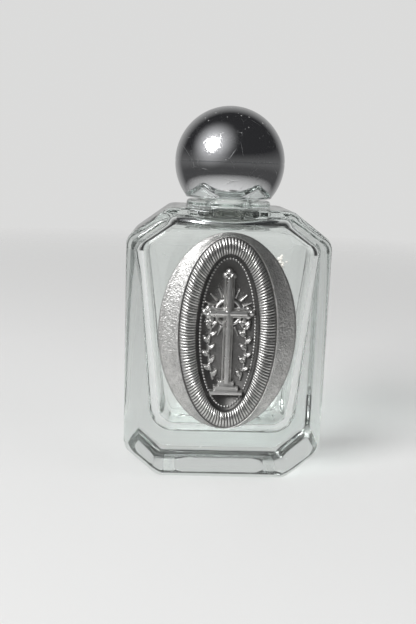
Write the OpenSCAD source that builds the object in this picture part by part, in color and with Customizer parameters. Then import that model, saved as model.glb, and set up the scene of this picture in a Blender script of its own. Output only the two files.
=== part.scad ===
// Pocket holy water bottle: a heavy clear glass flask with cut corners, a ball-shaped
// screw cap in four pieces, and an oval cast medal stuck on its front face.
// Millimetres, +Z up, front face towards -Y. The origin is on the table, on the neck's axis.

/* [Glass body] */
// Width of the glass body
body_w = 38; // [36:0.5:44]
// Depth of the glass body, front face to back face
body_d = 24; // [22:0.5:30]
// Height of the glass body, table to shoulder top
body_h = 51.8; // [48:0.1:58]
// Width that each shoulder facet takes off the top
shoulder_w = 7.6; // [5:0.1:9]
// Height of each shoulder facet
shoulder_h = 5.6; // [4:0.1:9]
// Width that each foot facet takes off the bottom
foot_w = 6.6; // [4:0.1:8]
// Height of each foot facet
foot_h = 5.8; // [4:0.1:8]
// Rounding radius of every outer edge of the body
edge_r = 3; // [1.2:0.1:3.6]

/* [Cavity] */
// Glass thickness of the front and back walls
face_wall = 2.4; // [1.6:0.1:3.4]
// Glass thickness round the shoulder
shoulder_wall = 2.2; // [1.6:0.1:3]
// Glass thickness of the side walls at the floor
floor_side_wall = 4.6; // [3:0.1:6]
// Thickness of the heavy base
base_t = 8.4; // [5:0.1:11]
// Rounding radius of the cavity's upper edges
cavity_r = 2.6; // [1.5:0.1:3.5]
// Rounding radius of the cavity's floor
floor_r = 5; // [3:0.1:7]

/* [Neck] */
// Bore of the mouth
bore_d = 6.4; // [5:0.1:8]
// Flare of the bore where it opens into the cavity, and at the lip
throat = 1; // [0.5:0.1:1.6]
// Outside diameter of the neck under its thread
neck_d = 11.5; // [10.5:0.1:12]
// Height of the mouth above the shoulder
neck_h = 9.3; // [9:0.1:11]
// Rounding of the lip
lip_r = 0.6; // [0.3:0.1:1]
// Diameter of the bead at the foot of the neck
bead_d = 16.2; // [15:0.1:18]
// Thickness of that bead
bead_t = 1.3; // [1:0.1:2]

/* [Thread] */
// Diameter over the neck's thread
thread_d = 13; // [12.6:0.1:13.4]
// Rise of the thread in one turn
thread_pitch = 2.12; // [2:0.02:2.4]
// Turns of thread on the neck
neck_turns = 1.75; // [1.25:0.25:2]
// Turns of thread in the cap
cap_turns = 1.5; // [1:0.25:1.75]
// Width of a thread ridge at its foot
thread_foot = 1; // [0.8:0.05:1.1]
// Width of a thread ridge at its crest
thread_crest = 0.5; // [0.3:0.05:0.6]
// Radial room between the two threads
thread_gap = 0.25; // [0.15:0.05:0.3]

/* [Ball cap] */
// Diameter of the ball
ball_d = 21; // [20.5:0.5:26]
// Wall of the plated shells
ball_wall = 1.1; // [0.8:0.1:1.4]
// Thickness of the lip round the cap's mouth
rim_lip = 0.7; // [0.5:0.1:1.2]
// Room between the glass bead and the cap's rim
rim_gap = 0.4; // [0.3:0.1:1]
// Height of the inner ledge above the rim
ledge_h = 2; // [1.5:0.1:2.6]
// Wall of the threaded insert
insert_wall = 0.6; // [0.5:0.1:0.9]
// How far the insert stops short of the rim
insert_recess = 0.3; // [0.1:0.1:0.6]
// Thickness of the insert's flange
flange_t = 1; // [0.6:0.1:1.4]
// Thickness of the insert's closed top
insert_top_t = 1.2; // [0.8:0.1:1.6]
// Thickness of the sealing liner
liner_t = 1; // [0.6:0.1:1.2]
// Radial room round the liner
liner_gap = 0.15; // [0.1:0.05:0.3]
// Room between pieces that are glued or pushed together
fit_gap = 0.05; // [0.03:0.01:0.1]
// Depth of the dome's spigot in the lower cup
spigot_h = 1.2; // [0.8:0.1:2]
// Wall of that spigot
spigot_t = 0.6; // [0.4:0.1:0.8]
// Diameter of the post that holds the insert down
post_d = 4; // [3:0.1:5]
// Size of the fine groove along the seam
seam_groove = 0.16; // [0.1:0.02:0.3]

/* [Medal] */
// Width of the oval medal
medal_w = 25.4; // [24:0.1:28]
// Height of the oval medal
medal_h = 36.9; // [35:0.1:40]
// Height of the medal's middle above the table
medal_z = 29.4; // [27:0.1:30.4]
// Thickness of the medal at its edge
medal_edge_t = 0.6; // [0.5:0.1:1]
// Thickness of the medal at the foot of the ribbed band
medal_t = 1.9; // [1.4:0.1:2.2]
// Width of the plain sloping margin at the medal's sides
margin_side = 3.9; // [2.8:0.1:4.2]
// Width of that margin at the medal's top and bottom
margin_end = 0.8; // [0.7:0.1:2.4]
// Width of the ribbed band
band_w = 3; // [2:0.1:3.5]
// Number of ribs round the band
rib_count = 146; // [100:2:160]
// Height of the rib crests over the foot of the band
rib_h = 0.75; // [0.4:0.05:1]
// Depth of the grooves between the ribs
rib_groove = 0.4; // [0.2:0.05:0.4]
// Thickness of the medal in the sunk field inside the band
field_t = 1.1; // [0.8:0.1:1.4]
// Thickness of the glue pad behind the medal
pad_t = 0.3; // [0.2:0.1:1]
// How far the glue pad stays inside the medal's edge
pad_inset = 2; // [1.5:0.1:3]

/* [Medal relief] */
// Height of the cross, top step to upper end
cross_h = 19.5; // [14:0.5:20]
// Span of the cross's arms without their end buds
cross_span = 7.2; // [6:0.1:7.6]
// Height of the arms above the top step
arm_rise = 12.8; // [9:0.1:13.4]
// Width of the cross's bars
bar_w = 2.2; // [1.4:0.1:2.4]
// How far the cross stands out of the field
cross_relief = 1.5; // [0.8:0.1:1.8]
// Radius of the buds at the cross's free ends
bud_r = 0.7; // [0.5:0.05:0.9]
// Outside diameter of the ring at the crossing
ring_d = 5.4; // [4:0.1:6]
// Thickness of that ring
ring_t = 0.8; // [0.5:0.05:1]
// Number of steps under the cross
step_count = 3; // [2:1:4]
// Rise of one step
step_h = 0.9; // [0.6:0.05:1]
// Width of the top step
step_w = 3.2; // [2.6:0.1:4]
// How much wider each lower step is than the one above
step_out = 1.5; // [0.8:0.1:1.6]
// Room between the lowest step and the band
relief_gap = 3.2; // [2.6:0.1:3.8]
// Number of leaves on each flower spray
leaf_count = 8; // [4:1:10]
// Length of a leaf
leaf_l = 1.7; // [1.4:0.1:2.2]
// Width of a leaf
leaf_w = 1; // [0.5:0.05:1.1]
// How far leaves and flowers stand out of the field
spray_relief = 0.8; // [0.4:0.05:1]
// Distance of a spray's foot from the middle line
spray_foot_u = 2.4; // [2:0.1:3]
// Distance of a spray's flower from the middle line
spray_top_u = 3; // [2.6:0.1:3.6]
// How far a spray bows outwards between its ends
spray_bow = 0.7; // [0:0.1:1]
// Room between a spray's flower and the arm above it
spray_gap = 2.6; // [2.2:0.1:4]

/* [Hidden] */

glass_colour = [0.82, 0.88, 0.88, 0.45];
chrome_colour = [0.72, 0.73, 0.75];
insert_colour = [0.93, 0.93, 0.90];
liner_colour = [0.97, 0.97, 0.95];
medal_colour = [0.56, 0.55, 0.53];
pad_colour = [0.86, 0.85, 0.80];

// Sides of a full turn: on true curves, on rounded corners, on ovals and on small relief forms
$fn = 96;
corner_fn = 32;
oval_fn = 72;
relief_fn = 14;
thread_fn = 32;
// Share of a thread's length that fades in or out, and the height that is left at its ends
thread_fade = 0.08;
thread_end = 0.15;
// How far one shape is sunk into the shape that carries it
sink = 0.3;
// How far a cut runs past the face that it opens
past = 1;

bore_r = bore_d / 2;
neck_r = neck_d / 2;
bead_r = bead_d / 2;
mouth_z = body_h + neck_h;
cavity_top_z = body_h - shoulder_wall;

ball_r = ball_d / 2;
ball_in_r = ball_r - ball_wall;
rim_z = body_h + bead_t + rim_gap;
socket_r = thread_d / 2 + thread_gap;
insert_r = socket_r + insert_wall;
cup_bore_r = insert_r + fit_gap;
rim_r = cup_bore_r + rim_lip;
ball_z = rim_z + sqrt(ball_r * ball_r - rim_r * rim_r);
insert_z = rim_z + insert_recess;
liner_top_z = mouth_z + liner_t;
insert_roof_z = liner_top_z + fit_gap;
insert_top_z = insert_roof_z + insert_top_t;
ledge_z = rim_z + ledge_h;
ledge_r = sqrt(ball_in_r * ball_in_r - (ball_z - ledge_z) * (ball_z - ledge_z));
spigot_r = sqrt(ball_in_r * ball_in_r - spigot_h * spigot_h) - fit_gap;
cap_thread_z = insert_z + thread_foot;
neck_thread_z = cap_thread_z + thread_pitch / 2;

band_out = [medal_w - 2 * margin_side, medal_h - 2 * margin_end];
band_in = band_out - 2 * band_w * [1, 1];
// Arc length along the middle of the band against the oval's angle, in steps of one degree
band_mid = (band_out + band_in) / 4;
band_lengths = [
    for (a = 0, s = 0; a <= 360; s = s + step_length(a), a = a + 1) [s, a]
];
band_length = band_lengths[360][0];
// Places in the field, up from the medal's middle: lowest step, foot of the cross, its arms and its top
steps_v = relief_gap - band_in[1] / 2;
cross_v = steps_v + step_count * step_h;
arms_v = cross_v + arm_rise;
top_v = cross_v + cross_h;

// Front outline of the body, anticlockwise from its left foot
body_outline = [
    [-body_w / 2 + foot_w, 0],
    [body_w / 2 - foot_w, 0],
    [body_w / 2, foot_h],
    [body_w / 2, body_h - shoulder_h],
    [body_w / 2 - shoulder_w, body_h],
    [-body_w / 2 + shoulder_w, body_h],
    [-body_w / 2, body_h - shoulder_h],
    [-body_w / 2, foot_h]
];
// Corners of that outline that belong to the shoulders
shoulder_corners = [3, 4, 5, 6];

// Inward normal of an anticlockwise outline's edge
function inward(a, b) = let (d = (b - a) / norm(b - a)) [-d[1], d[0]];

// Corners of a convex anticlockwise outline after it is drawn in by r
function drawn_in(outline, r) = [
    for (i = [0 : len(outline) - 1])
        let (
            before = outline[(i + len(outline) - 1) % len(outline)],
            here = outline[i],
            after = outline[(i + 1) % len(outline)],
            n1 = inward(before, here),
            n2 = inward(here, after)
        )
        here + r * (n1 + n2) / (1 + n1 * n2)
];

// Points of an arc about c, from angle a0 to a1
function arc(c, r, a0, a1, n = 8) = [
    for (i = [0 : n]) let (a = a0 + (a1 - a0) * i / n) c + r * [cos(a), sin(a)]
];

// Length of the band's middle line over the degree that follows angle a
function step_length(a) = norm([
    band_mid[0] * (cos(a + 1) - cos(a)), band_mid[1] * (sin(a + 1) - sin(a))
]);

// Angle of the oval at the given share of the band's length, so that ribs are spaced evenly
function band_angle(share) = lookup(band_length * share, band_lengths);

// Points of an oval of the given full width and height
function oval_points(size) = [
    for (i = [0 : oval_fn - 1])
        let (a = 360 * i / oval_fn) [size[0] / 2 * cos(a), size[1] / 2 * sin(a)]
];

// A ball whose surface reaches its full radius on all three axes
module corner_ball(r) {
    rotate_extrude($fn = corner_fn)
        intersection() {
            circle(r, $fn = corner_fn);
            translate([0, -r]) square([r, 2 * r]);
        }
}

// A ball at a point of the front outline, on both sides of the middle plane
module ball_pair(c, r, depth) {
    for (side = [-1, 1])
        translate([c[0], side * (depth / 2 - r), c[1]]) corner_ball(r);
}

// The solid glass block with its cut corners and rounded edges
module body_block() {
    hull()
        for (c = drawn_in(body_outline, edge_r)) ball_pair(c, edge_r, body_d);
}

// The hollow: thin-walled at the shoulder, drawn in towards a thick round floor
module cavity() {
    depth = body_d - 2 * face_wall;
    upper = drawn_in(body_outline, shoulder_wall + cavity_r);
    floor_x = body_w / 2 - floor_side_wall - floor_r;
    hull() {
        for (i = shoulder_corners) ball_pair(upper[i], cavity_r, depth);
        for (side = [-1, 1]) ball_pair([side * floor_x, base_t + floor_r], floor_r, depth);
    }
}

// Neck and bead, turned in one profile
module neck_turning() {
    bead_c = [bead_r - bead_t / 2, body_h + bead_t / 2];
    lip_c = [neck_r - lip_r, mouth_z - lip_r];
    rotate_extrude()
        polygon(concat(
            [[0, body_h - sink], [bead_c[0], body_h - sink]],
            arc(bead_c, bead_t / 2, -90, 90),
            [[neck_r, body_h + bead_t]],
            arc(lip_c, lip_r, 0, 90),
            [[0, mouth_z]]
        ));
}

// The way in: a straight bore, flared into the cavity and eased at the lip
module mouth_bore() {
    translate([0, 0, cavity_top_z - past])
        cylinder(r = bore_r, h = mouth_z - cavity_top_z + 2 * past);
    translate([0, 0, cavity_top_z - sink])
        cylinder(r1 = bore_r + throat, r2 = bore_r, h = throat + sink);
    translate([0, 0, mouth_z - lip_r / 2])
        cylinder(r1 = bore_r, r2 = bore_r + lip_r, h = lip_r);
}

// One helical ridge, from a foot radius to a crest radius, that fades out at both ends
module thread_ridge(foot_r, crest_r, turns) {
    n = ceil(turns * thread_fn);
    section = crest_r > foot_r ? [0, 1, 2, 3] : [3, 2, 1, 0];
    points = [
        for (i = [0 : n])
            let (
                a = 360 * turns * i / n,
                z = thread_pitch * turns * i / n,
                height = min(1, max(thread_end, min(i, n - i) / (n * thread_fade))),
                tip_r = foot_r + (crest_r - foot_r) * height,
                corners = [
                    [foot_r, z - thread_foot / 2], [tip_r, z - thread_crest / 2],
                    [tip_r, z + thread_crest / 2], [foot_r, z + thread_foot / 2]
                ]
            )
            each [for (k = section) [corners[k][0] * cos(a), corners[k][0] * sin(a), corners[k][1]]]
    ];
    sides = [
        for (i = [0 : n - 1], k = [0 : 3])
            let (a = 4 * i + k, b = 4 * i + (k + 1) % 4)
            each [[a, b, a + 4], [b, b + 4, a + 4]]
    ];
    ends = [[0, 2, 1], [0, 3, 2], [4 * n, 4 * n + 1, 4 * n + 2], [4 * n, 4 * n + 2, 4 * n + 3]];
    polyhedron(points = points, faces = concat(sides, ends), convexity = 6);
}

module glass_bottle() {
    color(glass_colour)
        difference() {
            union() {
                body_block();
                neck_turning();
                translate([0, 0, neck_thread_z]) thread_ridge(neck_r - sink, thread_d / 2, neck_turns);
            }
            cavity();
            mouth_bore();
        }
}

// A fine groove round the ball at its seam
module seam_cut() {
    rotate_extrude() translate([ball_r, 0]) rotate(45) square(seam_groove, center = true);
}

// Upper half of the ball, with a spigot into the lower half and a post down to the insert
module cap_dome() {
    spigot_root = sqrt(ball_in_r * ball_in_r - (spigot_r - spigot_t / 2) * (spigot_r - spigot_t / 2));
    post_top = ball_in_r + ball_wall / 2;
    color(chrome_colour)
        translate([0, 0, ball_z]) {
            difference() {
                sphere(ball_r);
                sphere(ball_in_r);
                translate([0, 0, -ball_d]) cylinder(d = 2 * ball_d, h = ball_d);
                seam_cut();
            }
            difference() {
                translate([0, 0, -spigot_h]) cylinder(r = spigot_r, h = spigot_h + spigot_root);
                translate([0, 0, -spigot_h - past])
                    cylinder(r = spigot_r - spigot_t, h = spigot_h + spigot_root + 2 * past);
            }
            translate([0, 0, insert_top_z - ball_z])
                cylinder(d = post_d, h = post_top - (insert_top_z - ball_z));
        }
}

// Lower part of the ball, cut off at the rim, with a ledge that carries the insert
module cap_cup() {
    color(chrome_colour)
        difference() {
            translate([0, 0, ball_z]) sphere(ball_r);
            translate([0, 0, ball_z]) cylinder(d = 2 * ball_d, h = ball_d);
            translate([0, 0, rim_z - ball_d]) cylinder(d = 2 * ball_d, h = ball_d);
            translate([0, 0, rim_z - past]) cylinder(r = cup_bore_r, h = ledge_h + 2 * past);
            intersection() {
                translate([0, 0, ball_z]) sphere(ball_in_r);
                translate([0, 0, ledge_z]) cylinder(d = 2 * ball_d, h = ball_d);
            }
            translate([0, 0, ball_z]) seam_cut();
        }
}

// Plain plastic sleeve that holds the cap's own thread
module cap_thread_insert() {
    color(insert_colour) {
        difference() {
            union() {
                translate([0, 0, insert_z]) cylinder(r = insert_r, h = insert_top_z - insert_z);
                translate([0, 0, ledge_z]) cylinder(r = ledge_r - fit_gap, h = flange_t);
            }
            translate([0, 0, insert_z - past]) cylinder(r = socket_r, h = insert_roof_z - insert_z + past);
        }
        translate([0, 0, cap_thread_z]) thread_ridge(socket_r + sink, neck_r + thread_gap, cap_turns);
    }
}

// Soft disc that seals on the glass lip
module cap_liner() {
    color(liner_colour)
        translate([0, 0, mouth_z]) cylinder(r = socket_r - liner_gap, h = liner_t);
}

// A flat oval slab
module oval_slab(size, z, t) {
    translate([0, 0, z]) linear_extrude(t) polygon(oval_points(size));
}

// Oval casting as rings of points: back, edge, sloping margin, ribbed band and sunk field.
// Each ring is [size, height, share of the rib's rise], from the back edge over the top to the middle.
module medal_plate() {
    n = 2 * rib_count;
    across = 4;
    full = [medal_w, medal_h];
    rings = concat(
        [
            [full, 0, 0], [full, medal_edge_t * 0.7, 0],
            [full - medal_edge_t * 0.3 * [1, 1], medal_edge_t, 0],
            [(full + band_out) / 2, (medal_edge_t + medal_t) / 2, 0]
        ],
        [
            for (k = [0 : across])
                [band_out + (band_in - band_out) * k / across, medal_t, sin(180 * k / across)]
        ],
        [[band_in - 2 * sink * [1, 1], field_t, 0]]
    );
    count = len(rings);
    points = concat(
        [
            for (i = [0 : n - 1], ring = rings)
                let (a = band_angle(i / n), rise = i % 2 == 0 ? rib_h : rib_h - rib_groove)
                [ring[0][0] / 2 * cos(a), ring[0][1] / 2 * sin(a), ring[1] + ring[2] * rise]
        ],
        [[0, 0, 0], [0, 0, field_t]]
    );
    back = n * count;
    faces = [
        for (i = [0 : n - 1])
            let (a = i * count, c = (i + 1) % n * count)
            each concat(
                [[a, c, back], [a + count - 1, back + 1, c + count - 1]],
                [
                    for (k = [0 : count - 2])
                        each [[a + k, a + k + 1, c + k], [a + k + 1, c + k + 1, c + k]]
                ]
            )
    ];
    polyhedron(points = points, faces = faces, convexity = 8);
}

// A roof-shaped bar from point a to point b of the field
module ridge_bar(a, b, width, rise) {
    along = b - a;
    ridge_w = width / 8;
    translate([a[0], a[1], field_t])
        rotate(atan2(along[1], along[0]))
            hull() {
                translate([0, -width / 2, -sink]) cube([norm(along), width, sink]);
                translate([0, -ridge_w / 2, 0]) cube([norm(along), ridge_w, rise]);
            }
}

// Three round buds at a free end of the cross, which points at the given angle
module end_buds(end, angle) {
    apart = bud_r * 0.85;
    translate([end[0], end[1], field_t])
        rotate(angle)
            for (place = [[0, -1], [0, 1], [1.1, 0]])
                translate([place[0] * apart, place[1] * apart, 0]) sphere(bud_r, $fn = relief_fn);
}

// Latin cross with budded ends and a ring at the crossing, on its steps
module stepped_cross() {
    arm = cross_span / 2;
    ridge_bar([0, cross_v - step_h / 2], [0, top_v], bar_w, cross_relief);
    ridge_bar([-arm, arms_v], [arm, arms_v], bar_w, cross_relief);
    end_buds([0, top_v], 90);
    end_buds([arm, arms_v], 0);
    end_buds([-arm, arms_v], 180);
    translate([0, arms_v, field_t])
        rotate_extrude($fn = corner_fn)
            translate([ring_d / 2 - ring_t / 2, 0]) circle(d = ring_t, $fn = relief_fn);
    for (i = [0 : step_count - 1]) {
        width = step_w + step_out * (step_count - 1 - i);
        translate([-width / 2, steps_v, field_t - sink])
            cube([width, step_h * (i + 1), sink + cross_relief * (0.8 - 0.2 * i)]);
    }
}

// Point of the right-hand spray's stalk, from its foot at t = 0 to its flower at t = 1
function spray_point(t) = [
    spray_foot_u + (spray_top_u - spray_foot_u) * t + spray_bow * sin(180 * t),
    cross_v + (arms_v - spray_gap - cross_v) * t
];

// A chip-cut leaf or petal that starts at a point and points at the given angle
module leaf(start, angle, length, width) {
    belly = length * 0.45;
    crown = 0.3;
    outline = [[0, 0], [belly, -width / 2], [length, 0], [belly, width / 2]];
    translate([start[0], start[1], field_t])
        rotate(angle)
            hull() {
                translate([0, 0, -sink]) linear_extrude(sink) polygon(outline);
                translate([belly * (1 - crown), 0, 0])
                    linear_extrude(spray_relief) polygon(outline * crown);
            }
}

// A stalk with leaves to either side and a three-petalled flower, mirrored left and right
module flower_sprays() {
    stalk_steps = 6;
    lean = 42;
    for (side = [0, 1])
        mirror([side, 0, 0]) {
            for (i = [0 : stalk_steps - 1]) {
                a = spray_point(i / stalk_steps);
                b = spray_point((i + 1) / stalk_steps);
                lap = (b - a) * 0.06;
                ridge_bar(a - lap, b + lap, leaf_w * 0.6, spray_relief * 0.6);
            }
            for (i = [0 : leaf_count - 1]) {
                t = (i + 0.5) / leaf_count;
                ahead = spray_point(t + 0.05) - spray_point(t);
                turn = i % 2 == 0 ? lean : -lean;
                leaf(spray_point(t), atan2(ahead[1], ahead[0]) + turn, leaf_l, leaf_w);
            }
            for (turn = [-lean, lean]) leaf(spray_point(1), 90 + turn, leaf_l, leaf_w);
            leaf(spray_point(1) + [0, leaf_w * 0.4], 90, leaf_l, leaf_w);
        }
}

// Oval cast medal: plate, ribbed band and relief in one casting
module medal_plaque() {
    color(medal_colour)
        translate([0, -body_d / 2 - pad_t, medal_z])
            rotate([90, 0, 0]) {
                medal_plate();
                intersection() {
                    union() {
                        stepped_cross();
                        flower_sprays();
                    }
                    oval_slab(band_out, field_t - sink / 2, medal_t + 2 * cross_relief);
                }
            }
}

// Thin glue pad between the glass and the medal
module glue_pad() {
    color(pad_colour)
        translate([0, -body_d / 2, medal_z])
            rotate([90, 0, 0]) oval_slab([medal_w, medal_h] - 2 * pad_inset * [1, 1], 0, pad_t);
}

glass_bottle();
cap_dome();
cap_cup();
cap_thread_insert();
cap_liner();
medal_plaque();
glue_pad();
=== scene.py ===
"""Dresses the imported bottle: clear pressed glass, a chromed ball cap and an oval cast medal.

Sizes are in millimetres in the bottle's own frame. A mesh is brought to metres when it becomes a piece.
"""

import functools
import logging
import math
from collections.abc import Sequence
from dataclasses import dataclass, field
from enum import Enum

import bmesh
import bpy
import numpy as np
from mathutils import Matrix, Vector


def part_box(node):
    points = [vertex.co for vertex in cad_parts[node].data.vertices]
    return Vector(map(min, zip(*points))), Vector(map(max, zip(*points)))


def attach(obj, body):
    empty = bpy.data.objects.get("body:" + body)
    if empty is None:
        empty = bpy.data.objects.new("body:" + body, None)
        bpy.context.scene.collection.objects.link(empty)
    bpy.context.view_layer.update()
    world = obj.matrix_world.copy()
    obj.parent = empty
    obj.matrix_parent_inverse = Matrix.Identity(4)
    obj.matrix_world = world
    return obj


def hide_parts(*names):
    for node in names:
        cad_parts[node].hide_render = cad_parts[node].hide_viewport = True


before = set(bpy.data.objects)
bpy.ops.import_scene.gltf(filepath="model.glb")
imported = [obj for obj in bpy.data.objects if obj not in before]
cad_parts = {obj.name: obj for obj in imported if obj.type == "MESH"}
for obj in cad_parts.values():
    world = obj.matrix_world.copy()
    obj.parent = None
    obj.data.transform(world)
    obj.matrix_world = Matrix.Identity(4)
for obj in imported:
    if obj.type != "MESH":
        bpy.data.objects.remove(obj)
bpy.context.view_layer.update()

MM = 0.001
Colour = tuple[float, float, float, float]
Point = tuple[float, float]
Rows = tuple[tuple[float, ...], ...]
Socket = bpy.types.NodeSocket
Outputs = bpy.types.NodeOutputs
log = logging.getLogger("bottle")


class Body(Enum):
    """The bodies that the pieces ride on."""

    BOTTLE = "bottle"
    LINER = "liner"
    CAP = "cap"


class Slot(Enum):
    """The record's material slots."""

    GLASS = "clear_glass"
    CHROME = "chrome_shell"
    INSERT = "insert_plastic"
    LINER = "liner_foam"
    MEDAL = "antiqued_pewter"
    GLUE = "dried_glue"


class Attribute(Enum):
    """Values that the medal's meshes carry for its finish."""

    POLISH = "polish"
    FROST = "frost"


class Effect(Enum):
    """Shader effects that several finishes share."""

    GRAIN = "cast_grain"
    HAIRLINES = "hairlines"
    DUST = "dust"


def node_box(node: str) -> tuple[Vector, Vector]:
    """Lowest and highest corner of a node of the frame, in millimetres."""
    low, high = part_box(node)
    return low / MM, high / MM


# Shader trees


class ShaderSheet:
    """Puts nodes into a shader tree and joins their sockets."""

    def __init__(self, tree: bpy.types.NodeTree) -> None:
        """Start on an empty tree."""
        self.tree = tree
        tree.nodes.clear()

    def feed(self, node: bpy.types.Node, feeds: dict) -> None:
        """Set a node's inputs.

        Args:
            node: The node.
            feeds: What goes into its inputs, by socket name or number: a value or another socket.
        """
        for key, feed in feeds.items():
            if isinstance(feed, Socket):
                self.tree.links.new(feed, node.inputs[key])
            else:
                node.inputs[key].default_value = feed

    def put(self, kind: str, feeds: dict | None = None, **settings: object) -> bpy.types.Node:
        """Add one node.

        Args:
            kind: The node's type.
            feeds: What goes into its inputs, by socket name or number: a value or another socket.
            settings: Properties of the node itself.

        Returns:
            The new node.
        """
        node = self.tree.nodes.new(kind)
        for name, value in settings.items():
            setattr(node, name, value)
        self.feed(node, feeds or {})
        return node

    def object_place(self) -> Socket:
        """The place on the piece, in metres."""
        return self.put("ShaderNodeTexCoord").outputs["Object"]

    def attribute(self, which: Attribute) -> Socket:
        """The value of one of the mesh's own attributes."""
        return self.put("ShaderNodeAttribute", attribute_name=which.value).outputs["Fac"]

    def noise(self, place: Socket, scale: object, detail: float = 3.0) -> Socket:
        """A cloud of the given scale, as a value."""
        feeds = {"Vector": place, "Scale": scale, "Detail": detail}
        return self.put("ShaderNodeTexNoise", feeds).outputs["Fac"]

    def cells(self, place: Socket, scale: object, **settings: object) -> Outputs:
        """Random cells, with the distance from each one's middle or edge and a colour for each."""
        return self.put("ShaderNodeTexVoronoi", {"Vector": place, "Scale": scale}, **settings).outputs

    def maths(self, operation: str, *values: object, clamp: bool = False) -> Socket:
        """One sum on values or sockets."""
        feeds = dict(enumerate(values))
        return self.put("ShaderNodeMath", feeds, operation=operation, use_clamp=clamp).outputs[0]

    def span(
        self, value: Socket, low: float, high: float, start: float = 0.0, end: float = 1.0
    ) -> Socket:
        """Bring a value from the span low to high into the span start to end.

        Args:
            value: The socket to bring over.
            low: Value that becomes start.
            high: Value that becomes end.
            start: First end of the new span.
            end: Other end of the new span.

        Returns:
            The new value, which stays inside the span.
        """
        feeds = {"Value": value, 1: low, 2: high, 3: start, 4: end}
        return self.put("ShaderNodeMapRange", feeds).outputs["Result"]

    def colours(self, factor: Socket, first: object, second: object) -> Socket:
        """Mix two colours: the first at 0, the second at 1."""
        feeds = {0: factor, 6: first, 7: second}
        return self.put("ShaderNodeMix", feeds, data_type="RGBA").outputs[2]

    def shaders(self, factor: Socket, first: bpy.types.Node, second: bpy.types.Node) -> Socket:
        """Mix two shaders: the first at 0, the second at 1."""
        feeds = {0: factor, 1: first.outputs[0], 2: second.outputs[0]}
        return self.put("ShaderNodeMixShader", feeds).outputs[0]

    def bump(self, height: Socket, depth: float, strength: float = 1.0) -> Socket:
        """A normal that follows a height.

        Args:
            height: The height, from 0 to 1.
            depth: Real rise for a height of 1, in millimetres.
            strength: Share of the effect.

        Returns:
            The bent normal.
        """
        feeds = {"Height": height, "Distance": depth * MM, "Strength": strength}
        return self.put("ShaderNodeBump", feeds).outputs["Normal"]

    def light_path(self) -> Outputs:
        """What kinds of ray are looking."""
        return self.put("ShaderNodeLightPath").outputs

    def mirrored(self, path: Outputs) -> Socket:
        """1 for a ray that a surface has thrown back, and 0 for one that came straight or through glass."""
        return self.maths("SUBTRACT", path["Is Glossy Ray"], path["Is Transmission Ray"], clamp=True)


class EffectGroup:
    """A shader node group that several finishes share, built once."""

    made: dict[Effect, bpy.types.NodeTree] = {}

    def __init__(self, effect: Effect, inputs: Sequence[str], outputs: Sequence[str]) -> None:
        """Make the group's sockets, which are values apart from the place.

        Args:
            effect: The effect that the group makes.
            inputs: Names of its inputs after the place.
            outputs: Names of its outputs.
        """
        self.tree = bpy.data.node_groups.new(effect.value, "ShaderNodeTree")
        self.sheet = ShaderSheet(self.tree)
        sockets = self.tree.interface
        sockets.new_socket("Place", in_out="INPUT", socket_type="NodeSocketVector")
        for way, titles in (("INPUT", inputs), ("OUTPUT", outputs)):
            for title in titles:
                sockets.new_socket(title, in_out=way, socket_type="NodeSocketFloat")
        self.given = self.sheet.put("NodeGroupInput").outputs
        EffectGroup.made[effect] = self.tree

    def end(self, results: dict[str, Socket]) -> None:
        """Send the results out of the group."""
        self.sheet.put("NodeGroupOutput", results)

    @staticmethod
    def placed(sheet: ShaderSheet, effect: Effect, feeds: dict) -> Outputs:
        """Put a group into a finish with that finish's own values, and hand out its outputs."""
        return sheet.put("ShaderNodeGroup", feeds, node_tree=EffectGroup.made[effect]).outputs


def make_grain_group() -> None:
    """Build a cast skin: small cells and a cloud make its height, and a wide cloud its blotches."""
    cell_share, cloud_share, cloud_detail = 0.5, 0.6, 6.0
    blotch_scale, blotch_low, blotch_high = 0.12, 0.36, 0.64
    group = EffectGroup(Effect.GRAIN, ("Scale",), ("Height", "Blotch"))
    sheet, place, scale = group.sheet, group.given["Place"], group.given["Scale"]
    cloud = sheet.maths("MULTIPLY", sheet.noise(place, scale, cloud_detail), cloud_share)
    height = sheet.maths("MULTIPLY_ADD", sheet.cells(place, scale)["Distance"], cell_share, cloud)
    wide = sheet.noise(place, sheet.maths("MULTIPLY", scale, blotch_scale))
    group.end({"Height": height, "Blotch": sheet.span(wide, blotch_low, blotch_high)})


def make_hairline_group() -> None:
    """Build scratches: edges of stretched cells, which run two ways and break off."""
    ways = (((0.3, 0.2, 0.5), (1.0, 0.05, 0.6)), ((1.1, 0.7, 0.2), (0.06, 1.0, 0.5)))
    break_scale, break_detail, break_low, break_high = 420.0, 2.0, 0.5, 0.62
    group = EffectGroup(Effect.HAIRLINES, ("Scale", "Width"), ("Mask",))
    sheet, given = group.sheet, group.given
    masks = []
    for turn, stretch in ways:
        feeds = {"Vector": given["Place"], "Rotation": turn, "Scale": stretch}
        laid = sheet.put("ShaderNodeMapping", feeds).outputs[0]
        away = sheet.cells(laid, given["Scale"], feature="DISTANCE_TO_EDGE")["Distance"]
        near = sheet.maths("DIVIDE", away, given["Width"])
        masks.append(sheet.maths("SUBTRACT", 1.0, near, clamp=True))
    broken = sheet.noise(given["Place"], break_scale, break_detail)
    shown = sheet.span(broken, break_low, break_high)
    group.end({"Mask": sheet.maths("MULTIPLY", sheet.maths("MAXIMUM", *masks), shown)})


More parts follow.
